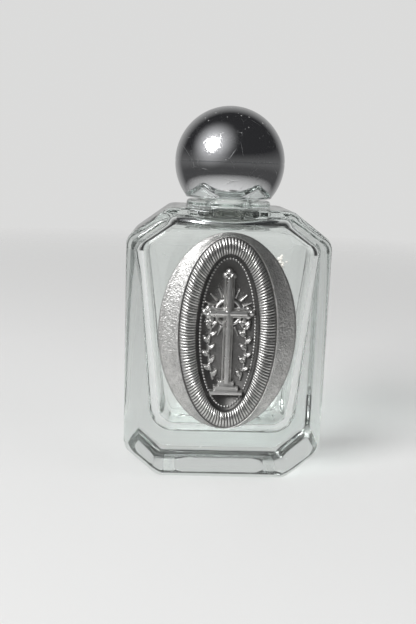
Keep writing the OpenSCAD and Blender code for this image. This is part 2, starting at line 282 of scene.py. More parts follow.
def make_dust_group() -> None:
    """Build specks: one of a random size in the middle of some cells."""
    biggest = 0.34
    group = EffectGroup(Effect.DUST, ("Scale", "Cover"), ("Mask",))
    sheet, given = group.sheet, group.given
    cells = sheet.cells(given["Place"], given["Scale"])
    chance = sheet.put("ShaderNodeSeparateColor", {0: cells["Color"]}).outputs
    size = sheet.maths("MULTIPLY", chance[1], biggest)
    speck = sheet.maths("SUBTRACT", 1.0, sheet.maths("DIVIDE", cells["Distance"], size), clamp=True)
    kept = sheet.maths("LESS_THAN", chance[0], given["Cover"])
    group.end({"Mask": sheet.maths("MULTIPLY", speck, kept)})


def cast_grain(sheet: ShaderSheet, place: Socket, scale: float) -> tuple[Socket, Socket]:
    """Height of a cast skin, and the blotches on it."""
    made = EffectGroup.placed(sheet, Effect.GRAIN, {"Place": place, "Scale": scale})
    return made["Height"], made["Blotch"]


def hairlines(sheet: ShaderSheet, place: Socket, scale: float, width: float) -> Socket:
    """Mask of scratches, with their width as a share of their spacing."""
    feeds = {"Place": place, "Scale": scale, "Width": width}
    return EffectGroup.placed(sheet, Effect.HAIRLINES, feeds)["Mask"]


def dust(sheet: ShaderSheet, place: Socket, scale: float, cover: object) -> Socket:
    """Mask of specks, with the share of cells that hold one."""
    feeds = {"Place": place, "Scale": scale, "Cover": cover}
    return EffectGroup.placed(sheet, Effect.DUST, feeds)["Mask"]


# Finishes


@dataclass(frozen=True)
class Finish:
    """What every finish has: a name and a Principled shader that its own method feeds."""

    name: str

    @functools.cache
    def material(self) -> bpy.types.Material:
        """Build the material once and hand it out.

        Returns:
            The material.
        """
        made = bpy.data.materials.new(self.name)
        made.use_nodes = True
        sheet = ShaderSheet(made.node_tree)
        shader = sheet.put("ShaderNodeBsdfPrincipled")
        ends = {"Surface": self.dress(sheet, shader)}
        within = self.fill(sheet)
        if within:
            ends["Volume"] = within
        sheet.put("ShaderNodeOutputMaterial", ends)
        return made

    def dress(self, sheet: ShaderSheet, shader: bpy.types.Node) -> Socket:
        """Feed the shader.

        Args:
            sheet: The material's tree.
            shader: Its Principled shader.

        Returns:
            What the surface shows.
        """
        raise NotImplementedError

    def fill(self, sheet: ShaderSheet) -> Socket | None:
        """What fills the piece, if light passes through it."""
        return None


@dataclass(frozen=True)
class ClearGlass(Finish):
    """Thick pressed glass, faintly wavy, and a little greasy, scratched and dusty from handling."""

    tint: Colour = (0.965, 0.985, 0.975, 1.0)
    index: float = 1.5
    greasy: float = 0.045
    grease_scale: float = 110.0
    grease_detail: float = 6.0
    grease_low: float = 0.5
    grease_high: float = 0.72
    scratched: float = 0.12
    scratch_scale: float = 170.0
    scratch_width: float = 0.006
    dusty: float = 0.5
    dust_scale: float = 800.0
    dust_cover: float = 0.05
    wave_scale: float = 85.0
    wave_detail: float = 1.5
    wave_depth: float = 0.35
    wave_share: float = 0.35
    shadow: Colour = (0.9, 0.92, 0.915, 1.0)
    depth_colour: Colour = (0.886, 0.896, 0.892, 1.0)
    depth_density: float = 85.0

    def dress(self, sheet: ShaderSheet, shader: bpy.types.Node) -> Socket:
        """Bend light with a wavy skin, dull it where it was touched, and let lamps shine through.

        Args:
            sheet: The material's tree.
            shader: Its Principled shader.

        Returns:
            What the surface shows.
        """
        place = sheet.object_place()
        grease = sheet.noise(place, self.grease_scale, self.grease_detail)
        dull = sheet.span(grease, self.grease_low, self.grease_high, 0.0, self.greasy)
        scratches = hairlines(sheet, place, self.scratch_scale, self.scratch_width)
        dull = sheet.maths("MULTIPLY_ADD", scratches, self.scratched, dull)
        specks = dust(sheet, place, self.dust_scale, self.dust_cover)
        dull = sheet.maths("MULTIPLY_ADD", specks, self.dusty, dull)
        waves = sheet.noise(place, self.wave_scale, self.wave_detail)
        feeds = {
            "Base Color": self.tint,
            "IOR": self.index,
            "Transmission Weight": 1.0,
            "Roughness": dull,
            "Normal": sheet.bump(waves, self.wave_depth, self.wave_share),
        }
        sheet.feed(shader, feeds)
        clear = sheet.put("ShaderNodeBsdfTransparent", {"Color": self.shadow})
        return sheet.shaders(sheet.light_path()["Is Shadow Ray"], shader, clear)

    def fill(self, sheet: ShaderSheet) -> Socket:
        """Thick glass takes a little of the light that runs through it."""
        feeds = {"Color": self.depth_colour, "Density": self.depth_density}
        return sheet.put("ShaderNodeVolumeAbsorption", feeds).outputs[0]


@dataclass(frozen=True)
class ChromeShell(Finish):
    """Chromed plastic: a mirror with finger smears, pits, hairline scratches and specks of dust."""

    metal: Colour = (0.74, 0.745, 0.755, 1.0)
    dust_colour: Colour = (0.55, 0.54, 0.52, 1.0)
    clean: float = 0.025
    smeared: float = 0.075
    smear_scale: float = 120.0
    smear_detail: float = 5.0
    smear_low: float = 0.42
    smear_high: float = 0.68
    pitted: float = 0.22
    pit_scale: float = 26000.0
    pit_detail: float = 1.0
    pit_low: float = 0.61
    pit_high: float = 0.66
    scratched: float = 0.3
    scratch_scale: float = 300.0
    scratch_width: float = 0.012
    scratch_cut: float = 0.4
    dusty: float = 0.4
    dust_scale: float = 1500.0
    clean_z: float = 62.5
    dusty_z: float = 70.5
    least_cover: float = 0.015
    most_cover: float = 0.5
    swell_scale: float = 140.0
    swell_detail: float = 1.0
    swell_depth: float = 0.05
    swell_share: float = 0.5

    def dress(self, sheet: ShaderSheet, shader: bpy.types.Node) -> Socket:
        """Vary the gloss over a plain mirror, with more dust towards its top.

        Args:
            sheet: The material's tree.
            shader: Its Principled shader.

        Returns:
            What the surface shows.
        """
        place = sheet.object_place()
        height = sheet.put("ShaderNodeSeparateXYZ", {0: place}).outputs["Z"]
        heights = (self.clean_z * MM, self.dusty_z * MM)
        cover = sheet.span(height, *heights, self.least_cover, self.most_cover)
        specks = dust(sheet, place, self.dust_scale, cover)
        scratches = hairlines(sheet, place, self.scratch_scale, self.scratch_width)
        smears = sheet.noise(place, self.smear_scale, self.smear_detail)
        smears = sheet.span(smears, self.smear_low, self.smear_high, self.clean, self.smeared)
        pits = sheet.noise(place, self.pit_scale, self.pit_detail)
        pits = sheet.span(pits, self.pit_low, self.pit_high, 0.0, self.pitted)
        dull = sheet.maths("MULTIPLY_ADD", scratches, self.scratched, sheet.maths("ADD", smears, pits))
        swell = sheet.noise(place, self.swell_scale, self.swell_detail)
        skin = sheet.maths("MULTIPLY_ADD", scratches, -self.scratch_cut, swell)
        feeds = {
            "Base Color": sheet.colours(specks, self.metal, self.dust_colour),
            "Metallic": sheet.maths("SUBTRACT", 1.0, specks),
            "Roughness": sheet.maths("MULTIPLY_ADD", specks, self.dusty, dull, clamp=True),
            "Normal": sheet.bump(skin, self.swell_depth, self.swell_share),
        }
        sheet.feed(shader, feeds)
        return shader.outputs[0]


@dataclass(frozen=True)
class AntiquedPewter(Finish):
    """Cast pewter, blackened in its hollows, polished on its highs and frosted on its margin."""

    metal: Colour = (0.75, 0.745, 0.73, 1.0)
    oxide: Colour = (0.035, 0.034, 0.033, 1.0)
    polished: float = 0.27
    hollow: float = 0.6
    frosted: float = 0.12
    least_shine: float = 0.82
    pitted: float = 0.45
    pit_low: float = 0.3
    pit_high: float = 0.62
    scratched: float = 0.15
    scratch_scale: float = 700.0
    scratch_width: float = 0.02
    grain_scale: float = 5200.0
    grain_depth: float = 0.12
    grain_share: float = 0.8
    plain_grain: float = 0.25
    frost_grain: float = 0.7
    sand_scale: float = 2300.0
    sand_detail: float = 2.0
    frost_sand: float = 1.6

    def dress(self, sheet: ShaderSheet, shader: bpy.types.Node) -> Socket:
        """Follow the mesh's own polish and frost.

        Args:
            sheet: The material's tree.
            shader: Its Principled shader.

        Returns:
            What the surface shows.
        """
        place = sheet.object_place()
        polish = sheet.attribute(Attribute.POLISH)
        frost = sheet.attribute(Attribute.FROST)
        height, blotch = cast_grain(sheet, place, self.grain_scale)
        worn = sheet.maths("MULTIPLY", polish, sheet.span(blotch, 0.0, 1.0, self.least_shine, 1.0))
        pits = sheet.span(height, self.pit_low, self.pit_high, self.pitted, 0.0)
        worn = sheet.maths("SUBTRACT", worn, sheet.maths("MULTIPLY", frost, pits), clamp=True)
        dull = sheet.span(worn, 0.0, 1.0, self.hollow, self.polished)
        dull = sheet.maths("MULTIPLY_ADD", frost, self.frosted, dull)
        scratches = hairlines(sheet, place, self.scratch_scale, self.scratch_width)
        grain = sheet.span(frost, 0.0, 1.0, self.plain_grain, self.frost_grain)
        sand = sheet.noise(place, self.sand_scale, self.sand_detail)
        sand = sheet.maths("MULTIPLY", sand, sheet.maths("MULTIPLY", frost, self.frost_sand))
        skin = sheet.maths("ADD", sheet.maths("MULTIPLY", height, grain), sand)
        feeds = {
            "Base Color": sheet.colours(worn, self.oxide, self.metal),
            "Metallic": 1.0,
            "Roughness": sheet.maths("MULTIPLY_ADD", scratches, self.scratched, dull, clamp=True),
            "Normal": sheet.bump(skin, self.grain_depth, self.grain_share),
        }
        sheet.feed(shader, feeds)
        return shader.outputs[0]


@dataclass(frozen=True)
class MouldedPlastic(Finish):
    """Plastic, foam or glue with a fine skin and a little grime."""

    body: Colour = (0.86, 0.86, 0.83, 1.0)
    grime: Colour = (0.66, 0.63, 0.56, 1.0)
    gloss: float = 0.38
    worn_gloss: float = 0.55
    blotched: float = 0.22
    specked: float = 0.7
    speck_scale: float = 1300.0
    speck_cover: float = 0.06
    grain_scale: float = 2600.0
    grain_depth: float = 0.03
    grain_share: float = 0.7

    def dress(self, sheet: ShaderSheet, shader: bpy.types.Node) -> Socket:
        """Break up a plain colour with grain, blotches and specks.

        Args:
            sheet: The material's tree.
            shader: Its Principled shader.

        Returns:
            What the surface shows.
        """
        place = sheet.object_place()
        height, blotch = cast_grain(sheet, place, self.grain_scale)
        specks = dust(sheet, place, self.speck_scale, self.speck_cover)
        dirty = sheet.maths("MULTIPLY", blotch, self.blotched)
        dirty = sheet.maths("MULTIPLY_ADD", specks, self.specked, dirty, clamp=True)
        feeds = {
            "Base Color": sheet.colours(dirty, self.body, self.grime),
            "Roughness": sheet.span(blotch, 0.0, 1.0, self.gloss, self.worn_gloss),
            "Normal": sheet.bump(height, self.grain_depth, self.grain_share),
        }
        sheet.feed(shader, feeds)
        return shader.outputs[0]


@dataclass(frozen=True)
class StudioPaper(Finish):
    """Pale plain floor that fades into the background round it."""

    shade: Colour = (0.8, 0.8, 0.795, 1.0)
    dull: float = 0.85
    solid_to: float = 0.12
    gone_at: float = 0.55
    mirrored_to: float = 0.05
    mirrored_gone: float = 0.14

    def dress(self, sheet: ShaderSheet, shader: bpy.types.Node) -> Socket:
        """Let the background through towards the floor's edge, and sooner in a mirror.

        Args:
            sheet: The material's tree.
            shader: Its Principled shader.

        Returns:
            What the surface shows.
        """
        sheet.feed(shader, {"Base Color": self.shade, "Roughness": self.dull})
        place = sheet.object_place()
        far = sheet.put("ShaderNodeVectorMath", {0: place}, operation="LENGTH").outputs["Value"]
        mirrored = sheet.mirrored(sheet.light_path())
        sooner = sheet.maths("MULTIPLY", mirrored, sheet.span(far, self.mirrored_to, self.mirrored_gone))
        fade = sheet.maths("MAXIMUM", sheet.span(far, self.solid_to, self.gone_at), sooner)
        return sheet.shaders(fade, shader, sheet.put("ShaderNodeBsdfTransparent"))


# Mesh tools


class RingLoft:
    """A skin drawn through closed rings that all have the same number of points."""

    def __init__(self, count: int) -> None:
        """Start an empty skin.

        Args:
            count: Points of each ring.
        """
        self.mesh = bmesh.new()
        self.count = count
        self.verts: list[bmesh.types.BMVert] = []

    def add(self, ring: np.ndarray) -> list[bmesh.types.BMVert]:
        """Draw the skin on to one more ring.

        Args:
            ring: The ring's points, one row each.

        Returns:
            The ring's vertices, in the order of the rows.
        """
        if not self.verts:
            self.verts = bmesh.ops.create_circle(self.mesh, segments=self.count, radius=1.0)["verts"]
        else:
            edges = [self.edge(i) for i in range(self.count)]
            rank = {vert: i for i, vert in enumerate(self.verts)}
            made = bmesh.ops.extrude_edge_only(self.mesh, edges=edges)["geom"]
            fresh = [item for item in made if isinstance(item, bmesh.types.BMVert)]
            following: list = [None] * self.count
            for vert in fresh:
                near = [edge.other_vert(vert) for edge in vert.link_edges]
                following[next(rank[other] for other in near if other in rank)] = vert
            self.verts = following
        for vert, place in zip(self.verts, ring):
            vert.co = place
        return self.verts

    def edge(self, i: int) -> bmesh.types.BMEdge:
        """The edge that follows point i of the last ring."""
        return self.mesh.edges.get((self.verts[i], self.verts[(i + 1) % self.count]))

    def close(self, verts: Sequence[bmesh.types.BMVert], place: Sequence[float]) -> None:
        """Draw one end ring together at a point."""
        bmesh.ops.pointmerge(self.mesh, verts=list(verts), merge_co=Vector(place))


def spun(profile: Sequence[Point], steps: int = 128) -> bmesh.types.BMesh:
    """Turn a profile about the upright axis.

    Args:
        profile: Points of radius and height, in order. It closes on itself unless both ends are on the axis.
        steps: Sides of the full turn.

    Returns:
        The closed, outward-facing mesh.
    """
    mesh = bmesh.new()
    verts = [mesh.verts.new((radius, 0.0, z)) for radius, z in profile]
    edges = [mesh.edges.new(pair) for pair in zip(verts, verts[1:])]
    if profile[0][0] > 0 or profile[-1][0] > 0:
        edges.append(mesh.edges.new((verts[-1], verts[0])))
    bmesh.ops.spin(
        mesh, geom=verts + edges, cent=(0, 0, 0), axis=(0, 0, 1),
        angle=math.tau, steps=steps, use_merge=True,
    )
    tidy(mesh)
    return mesh


def tidy(mesh: bmesh.types.BMesh, reach: float = 1e-4) -> None:
    """Merge points that coincide and turn the faces outwards."""
    bmesh.ops.remove_doubles(mesh, verts=mesh.verts[:], dist=reach)
    bmesh.ops.recalc_face_normals(mesh, faces=mesh.faces[:])


def put_in_scene(name: str, data: bpy.types.ID) -> bpy.types.Object:
    """Make an object of its data and link it into the scene.

    Args:
        name: The object's name.
        data: Its mesh, camera or light.

    Returns:
        The new object.
    """
    made = bpy.data.objects.new(name, data)
    bpy.context.scene.collection.objects.link(made)
    return made


def piece(
    name: str, mesh: bmesh.types.BMesh, finish: Finish, body: Body, nodes: Sequence[str] = (),
    crease: float | None = 40.0,
) -> bpy.types.Object:
    """Make a finished object of a mesh that is in millimetres.

    Args:
        name: The piece's name.
        mesh: Its mesh, which is used up.
        finish: Its finish.
        body: The body that it rides on.
        nodes: Nodes of the frame that it stands for.
        crease: Angle in degrees past which an edge stays sharp, or None for a skin that is smooth all over.

    Returns:
        The new object.
    """
    bmesh.ops.scale(mesh, vec=(MM, MM, MM), verts=mesh.verts[:])
    data = bpy.data.meshes.new(name)
    mesh.to_mesh(data)
    mesh.free()
    data.shade_smooth()
    if crease is not None:
        data.set_sharp_from_angle(angle=math.radians(crease))
    data.materials.append(finish.material())
    made = put_in_scene(name, data)
    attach(made, body.value)
    if nodes:
        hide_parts(*nodes)
    log.info("%s: %d faces, on %s", name, len(data.polygons), body.value)
    return made


def arc(centre: Point, radius: float, start: float, end: float, steps: int = 8) -> list[Point]:
    """Points of an arc, with its angles in degrees."""
    angles = np.radians(np.linspace(start, end, steps + 1))
    return [(centre[0] + radius * math.cos(a), centre[1] + radius * math.sin(a)) for a in angles]


def hull_side(circles: Sequence[tuple[float, float, float]], samples: int = 64) -> np.ndarray:
    """Right-hand outline of the hull of some circles, from its lowest point to its highest.

    Args:
        circles: Each circle's distance from the middle, height and radius.
        samples: Number of directions that are probed.

    Returns:
        Rows of distance from the middle and height.
    """
    angles = np.linspace(-math.pi / 2, math.pi / 2, samples + 1)
    normals = np.column_stack([np.cos(angles), np.sin(angles)])
    rows = np.array(circles)
    best = (normals @ rows[:, :2].T + rows[:, 2]).argmax(axis=1)
    return rows[best, :2] + normals * rows[best, 2:3]


def drawn_in(outline: Sequence[Point], inset: float) -> list[Point]:
    """Corners of a convex anticlockwise outline after it is drawn in.

    Args:
        outline: The corners before.
        inset: How far each side moves in.

    Returns:
        The corners in the same order.
    """
    corners = np.array(outline)
    along = np.roll(corners, -1, axis=0) - corners
    along /= np.linalg.norm(along, axis=1)[:, None]
    after = np.column_stack([-along[:, 1], along[:, 0]])
    before = np.roll(after, 1, axis=0)
    share = 1 + (before * after).sum(axis=1)[:, None]
    return [tuple(row) for row in corners + inset * (before + after) / share]


def rounded_ring(half_w: float, half_d: float, corner: float, z: float, steps: int) -> np.ndarray:
    """A level rectangle with round corners, as a ring of points.

    Args:
        half_w: Half its width.
        half_d: Half its depth.
        corner: Radius of its corners. A circle is the case where all three are equal.
        z: Its height.
        steps: Sides of each corner.

    Returns:
        The ring's points, one row each.
    """
    quarter = np.linspace(0, math.pi / 2, steps + 1)
    rows = []
    for turn, (side_x, side_y) in enumerate(((1, 1), (-1, 1), (-1, -1), (1, -1))):
        angle = quarter + turn * math.pi / 2
        x = side_x * (half_w - corner) + corner * np.cos(angle)
        y = side_y * (half_d - corner) + corner * np.sin(angle)
        rows.append(np.column_stack([x, y, np.full_like(x, z)]))
    return np.vstack(rows)


def oval_run(half: np.ndarray, samples: int = 3600) -> tuple[np.ndarray, np.ndarray]:
    """Fine angles round an oval of given half axes, and the length of its edge up to each.

    Args:
        half: The oval's half axes.
        samples: Number of angles in the full turn.

    Returns:
        The angles and the lengths, which both start at 0.
    """
    angles = np.linspace(0, math.tau, samples + 1)
    steps = np.hypot(half[0] * np.diff(np.cos(angles)), half[1] * np.diff(np.sin(angles)))
    return angles, np.concatenate([[0], np.cumsum(steps)])


def oval_length(half: np.ndarray) -> float:
    """Length of an oval's edge."""
    return oval_run(half)[1][-1]


def even_angles(half: np.ndarray, count: int) -> np.ndarray:
    """Angles of points that are evenly spaced along an oval's edge."""
    angles, run = oval_run(half)
    return np.interp(np.arange(count) / count * run[-1], run, angles)


def smooth(value: np.ndarray | float) -> np.ndarray:
    """Ease from 0 to 1."""
    t = np.clip(value, 0.0, 1.0)
    return t * t * (3 - 2 * t)


# The threads that the neck and the cap share


@dataclass(frozen=True)
class Helix:
    """A ridge that winds up round the axis and fades out at both ends."""

    start_z: float
    turns: float
    pitch: float = 2.12
    half_foot: float = 0.46
    half_crest: float = 0.2
    fade: float = 0.08

    def rise(self, x: np.ndarray, y: np.ndarray, z: np.ndarray) -> np.ndarray:
        """Share of the ridge's full height at some points of the wall that carries it.

        Args:
            x: The points' places to the right.
            y: The points' places to the back.
            z: The points' heights.

        Returns:
            A share from 0 to 1 for each point.
        """
        turn = np.mod(np.arctan2(y, x) / math.tau, 1.0)
        best = np.zeros_like(z)
        for lap in range(math.ceil(self.turns) + 1):
            run = turn + lap
            away = np.abs(z - self.start_z - self.pitch * run)
            height = smooth((self.half_foot - away) / (self.half_foot - self.half_crest))
            ends = np.minimum(run, self.turns - run) / (self.turns * self.fade)
            best = np.maximum(best, height * smooth(ends))
        return best


# The glass


@dataclass
class GlassBottle:
    """Flat bottle of thick pressed glass with cut corners, a beaded neck and a screw thread."""

    finish: Finish
    width: float
    depth: float
    mouth_z: float
    neck_h: float = 9.3
    shoulder_w: float = 7.6
    shoulder_h: float = 5.6
    foot_w: float = 6.6
    foot_h: float = 5.8
    edge_r: float = 3.0
    face_wall: float = 2.4
    shoulder_wall: float = 2.2
    floor_side_wall: float = 4.6
    base_t: float = 8.4
    cavity_r: float = 2.6
    floor_r: float = 5.0
    push_up: float = 0.5
    push_up_inset: float = 2.4
    push_up_corner: float = 2.0
    push_up_steps: Rows = ((2.2, 1.0), (1.6, 0.86), (1.25, 0.5), (1.0, 0.12), (0.9, 0.0))
    bore_r: float = 3.2
    throat: float = 1.0
    neck_r: float = 5.75
    lip_r: float = 0.6
    bead_r: float = 8.1
    bead_t: float = 1.3
    root_r: float = 0.35
    thread_r: float = 6.5
    thread_above: float = 2.06
    thread_turns: float = 1.75
    thread_step: float = 0.11
    corner_steps: int = 24
    outer_gap: float = 0.03
    inner_gap: float = 0.05
    sharp: float = 0.04

    @classmethod
    def from_frame(cls, finish: Finish) -> "GlassBottle":
        """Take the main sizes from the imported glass."""
        low, high = node_box("glass_bottle")
        return cls(finish=finish, width=high.x - low.x, depth=high.y - low.y, mouth_z=high.z)

    @property
    def body_h(self) -> float:
        """Height of the shoulder's top."""
        return self.mouth_z - self.neck_h

    @property
    def outline(self) -> list[Point]:
        """Front outline of the body, anticlockwise from its left foot.

        Returns:
            Corners of distance from the middle and height.
        """
        side, top = self.width / 2, self.body_h
        right = [
            (side - self.foot_w, 0), (side, self.foot_h),
            (side, top - self.shoulder_h), (side - self.shoulder_w, top),
        ]
        left = [(-x, z) for x, z in reversed(right)]
        return left[-1:] + right + left[:-1]

    def sections(
        self, circles: Sequence[tuple[float, float, float]], half_d: float, spare: float
    ) -> list[np.ndarray]:
        """Level sections of a block whose front outline is the hull of some circles.

        Args:
            circles: The circles of the right-hand side: distance from the middle, height and radius.
            half_d: Half the block's depth.
            spare: Heights closer together than this make one section.

        Returns:
            Rings from the lowest section to the highest.
        """
        front = hull_side(circles)
        side = hull_side([(half_d - r, z, r) for _, z, r in circles])
        heights = np.unique(np.concatenate([front[:, 1], side[:, 1]]))
        kept = [heights[0]]
        for z in heights[1:-1]:
            if z - kept[-1] > spare and heights[-1] - z > spare:
                kept.append(z)
        kept.append(heights[-1])
        by_z = sorted(circles, key=lambda c: c[1])
        rings = []
        for z in kept:
            wide = np.interp(z, front[:, 1], front[:, 0])
            deep = np.interp(z, side[:, 1], side[:, 0])
            core = np.interp(z, [c[1] for c in by_z], [half_d - c[2] for c in by_z])
            corner = max(deep - core, self.sharp)
            rings.append(rounded_ring(wide, deep, corner, z, self.corner_steps))
        return rings

    def outer_rings(self) -> list[np.ndarray]:
        """The outside, from the pushed-up base to the edge of the shoulder's top.

        Returns:
            Rings in order.
        """
        corners = drawn_in(self.outline, self.edge_r)[1:5]
        rings = self.sections([(x, z, self.edge_r) for x, z in corners], self.depth / 2, self.outer_gap)
        foot_w, foot_d = rings[0][:, 0].max(), rings[0][:, 1].max()
        base = []
        for share, lift in self.push_up_steps:
            inset, z = self.push_up_inset * share, self.push_up * lift
            ring = rounded_ring(foot_w - inset, foot_d - inset, self.push_up_corner, z, self.corner_steps)
            base.append(ring)
        return base + rings

    def turned(self, profile: Sequence[Point]) -> list[np.ndarray]:
        """Round rings at points of radius and height."""
        return [rounded_ring(r, r, r, z, self.corner_steps) for r, z in profile]

    def neck_rings(self) -> list[np.ndarray]:
        """The outside of the neck: bead, thread and lip.

        Returns:
            Rings from the bead's foot to the mouth.
        """
        top, root = self.body_h, self.root_r
        bead_top = top + self.bead_t
        half = self.bead_t / 2
        profile = arc((self.bead_r + root, top + root), root, 270, 180, 5)
        profile += arc((self.bead_r - half, bead_top - half), half, 0, 90, 8)
        profile += arc((self.neck_r + root, bead_top + root), root, 270, 180, 5)
        lip_z = self.mouth_z - self.lip_r
        count = round((lip_z - bead_top - root) / self.thread_step)
        heights = np.linspace(bead_top + root, lip_z, count + 1)[1:]
        profile += [(self.neck_r, z) for z in heights]
        profile += arc((self.neck_r - self.lip_r, lip_z), self.lip_r, 0, 90, 6)[1:]
        rings = self.turned(profile)
        for ring in rings:
            x, y, z = ring.T
            share = self.helix.rise(x, y, z) * smooth((lip_z - z) / self.lip_r)
            grown = 1 + share * (self.thread_r - self.neck_r) / np.hypot(x, y)
            ring[:, 0] *= grown
            ring[:, 1] *= grown
        return rings

    @property
    def helix(self) -> Helix:
        """The neck's thread, half a pitch above the cap's."""
        low = node_box("cap_thread_insert")[0]
        return Helix(start_z=low.z + self.thread_above, turns=self.thread_turns)

    def inner_rings(self) -> list[np.ndarray]:
        """The inside, from the mouth down to the floor.

        Returns:
            Rings in order.
        """
        roof = self.body_h - self.shoulder_wall
        eased = self.lip_r / 2
        profile = arc((self.bore_r + eased, self.mouth_z - eased), eased, 90, 180, 5)
        profile += [(self.bore_r, roof + 2 * self.throat), (self.bore_r, roof + self.throat)]
        profile += arc((self.bore_r + self.throat, roof + self.throat), self.throat, 180, 270, 6)[1:]
        upper = drawn_in(self.outline, self.shoulder_wall + self.cavity_r)[3:5]
        circles = [(x, z, self.cavity_r) for x, z in upper]
        floor_x = self.width / 2 - self.floor_side_wall - self.floor_r
        circles.append((floor_x, self.base_t + self.floor_r, self.floor_r))
        hollow = self.sections(circles, self.depth / 2 - self.face_wall, self.inner_gap)
        return self.turned(profile) + hollow[::-1]

    def build(self) -> None:
        """Draw one skin over the outside, round the lip and down to the floor of the hollow."""
        loft = RingLoft(4 * (self.corner_steps + 1))
        rings = self.outer_rings() + self.neck_rings() + self.inner_rings()
        first = list(loft.add(rings[0]))
        for ring in rings[1:]:
            last = loft.add(ring)
        loft.close(first, (0, 0, rings[0][0][2]))
        loft.close(last, (0, 0, rings[-1][0][2]))
        tidy(loft.mesh)
        made = piece(
            "bottle_glass", loft.mesh, self.finish, Body.BOTTLE, ("glass_bottle",), crease=None
        )
        made.modifiers.new("flat_faces", "WEIGHTED_NORMAL")


# The cap


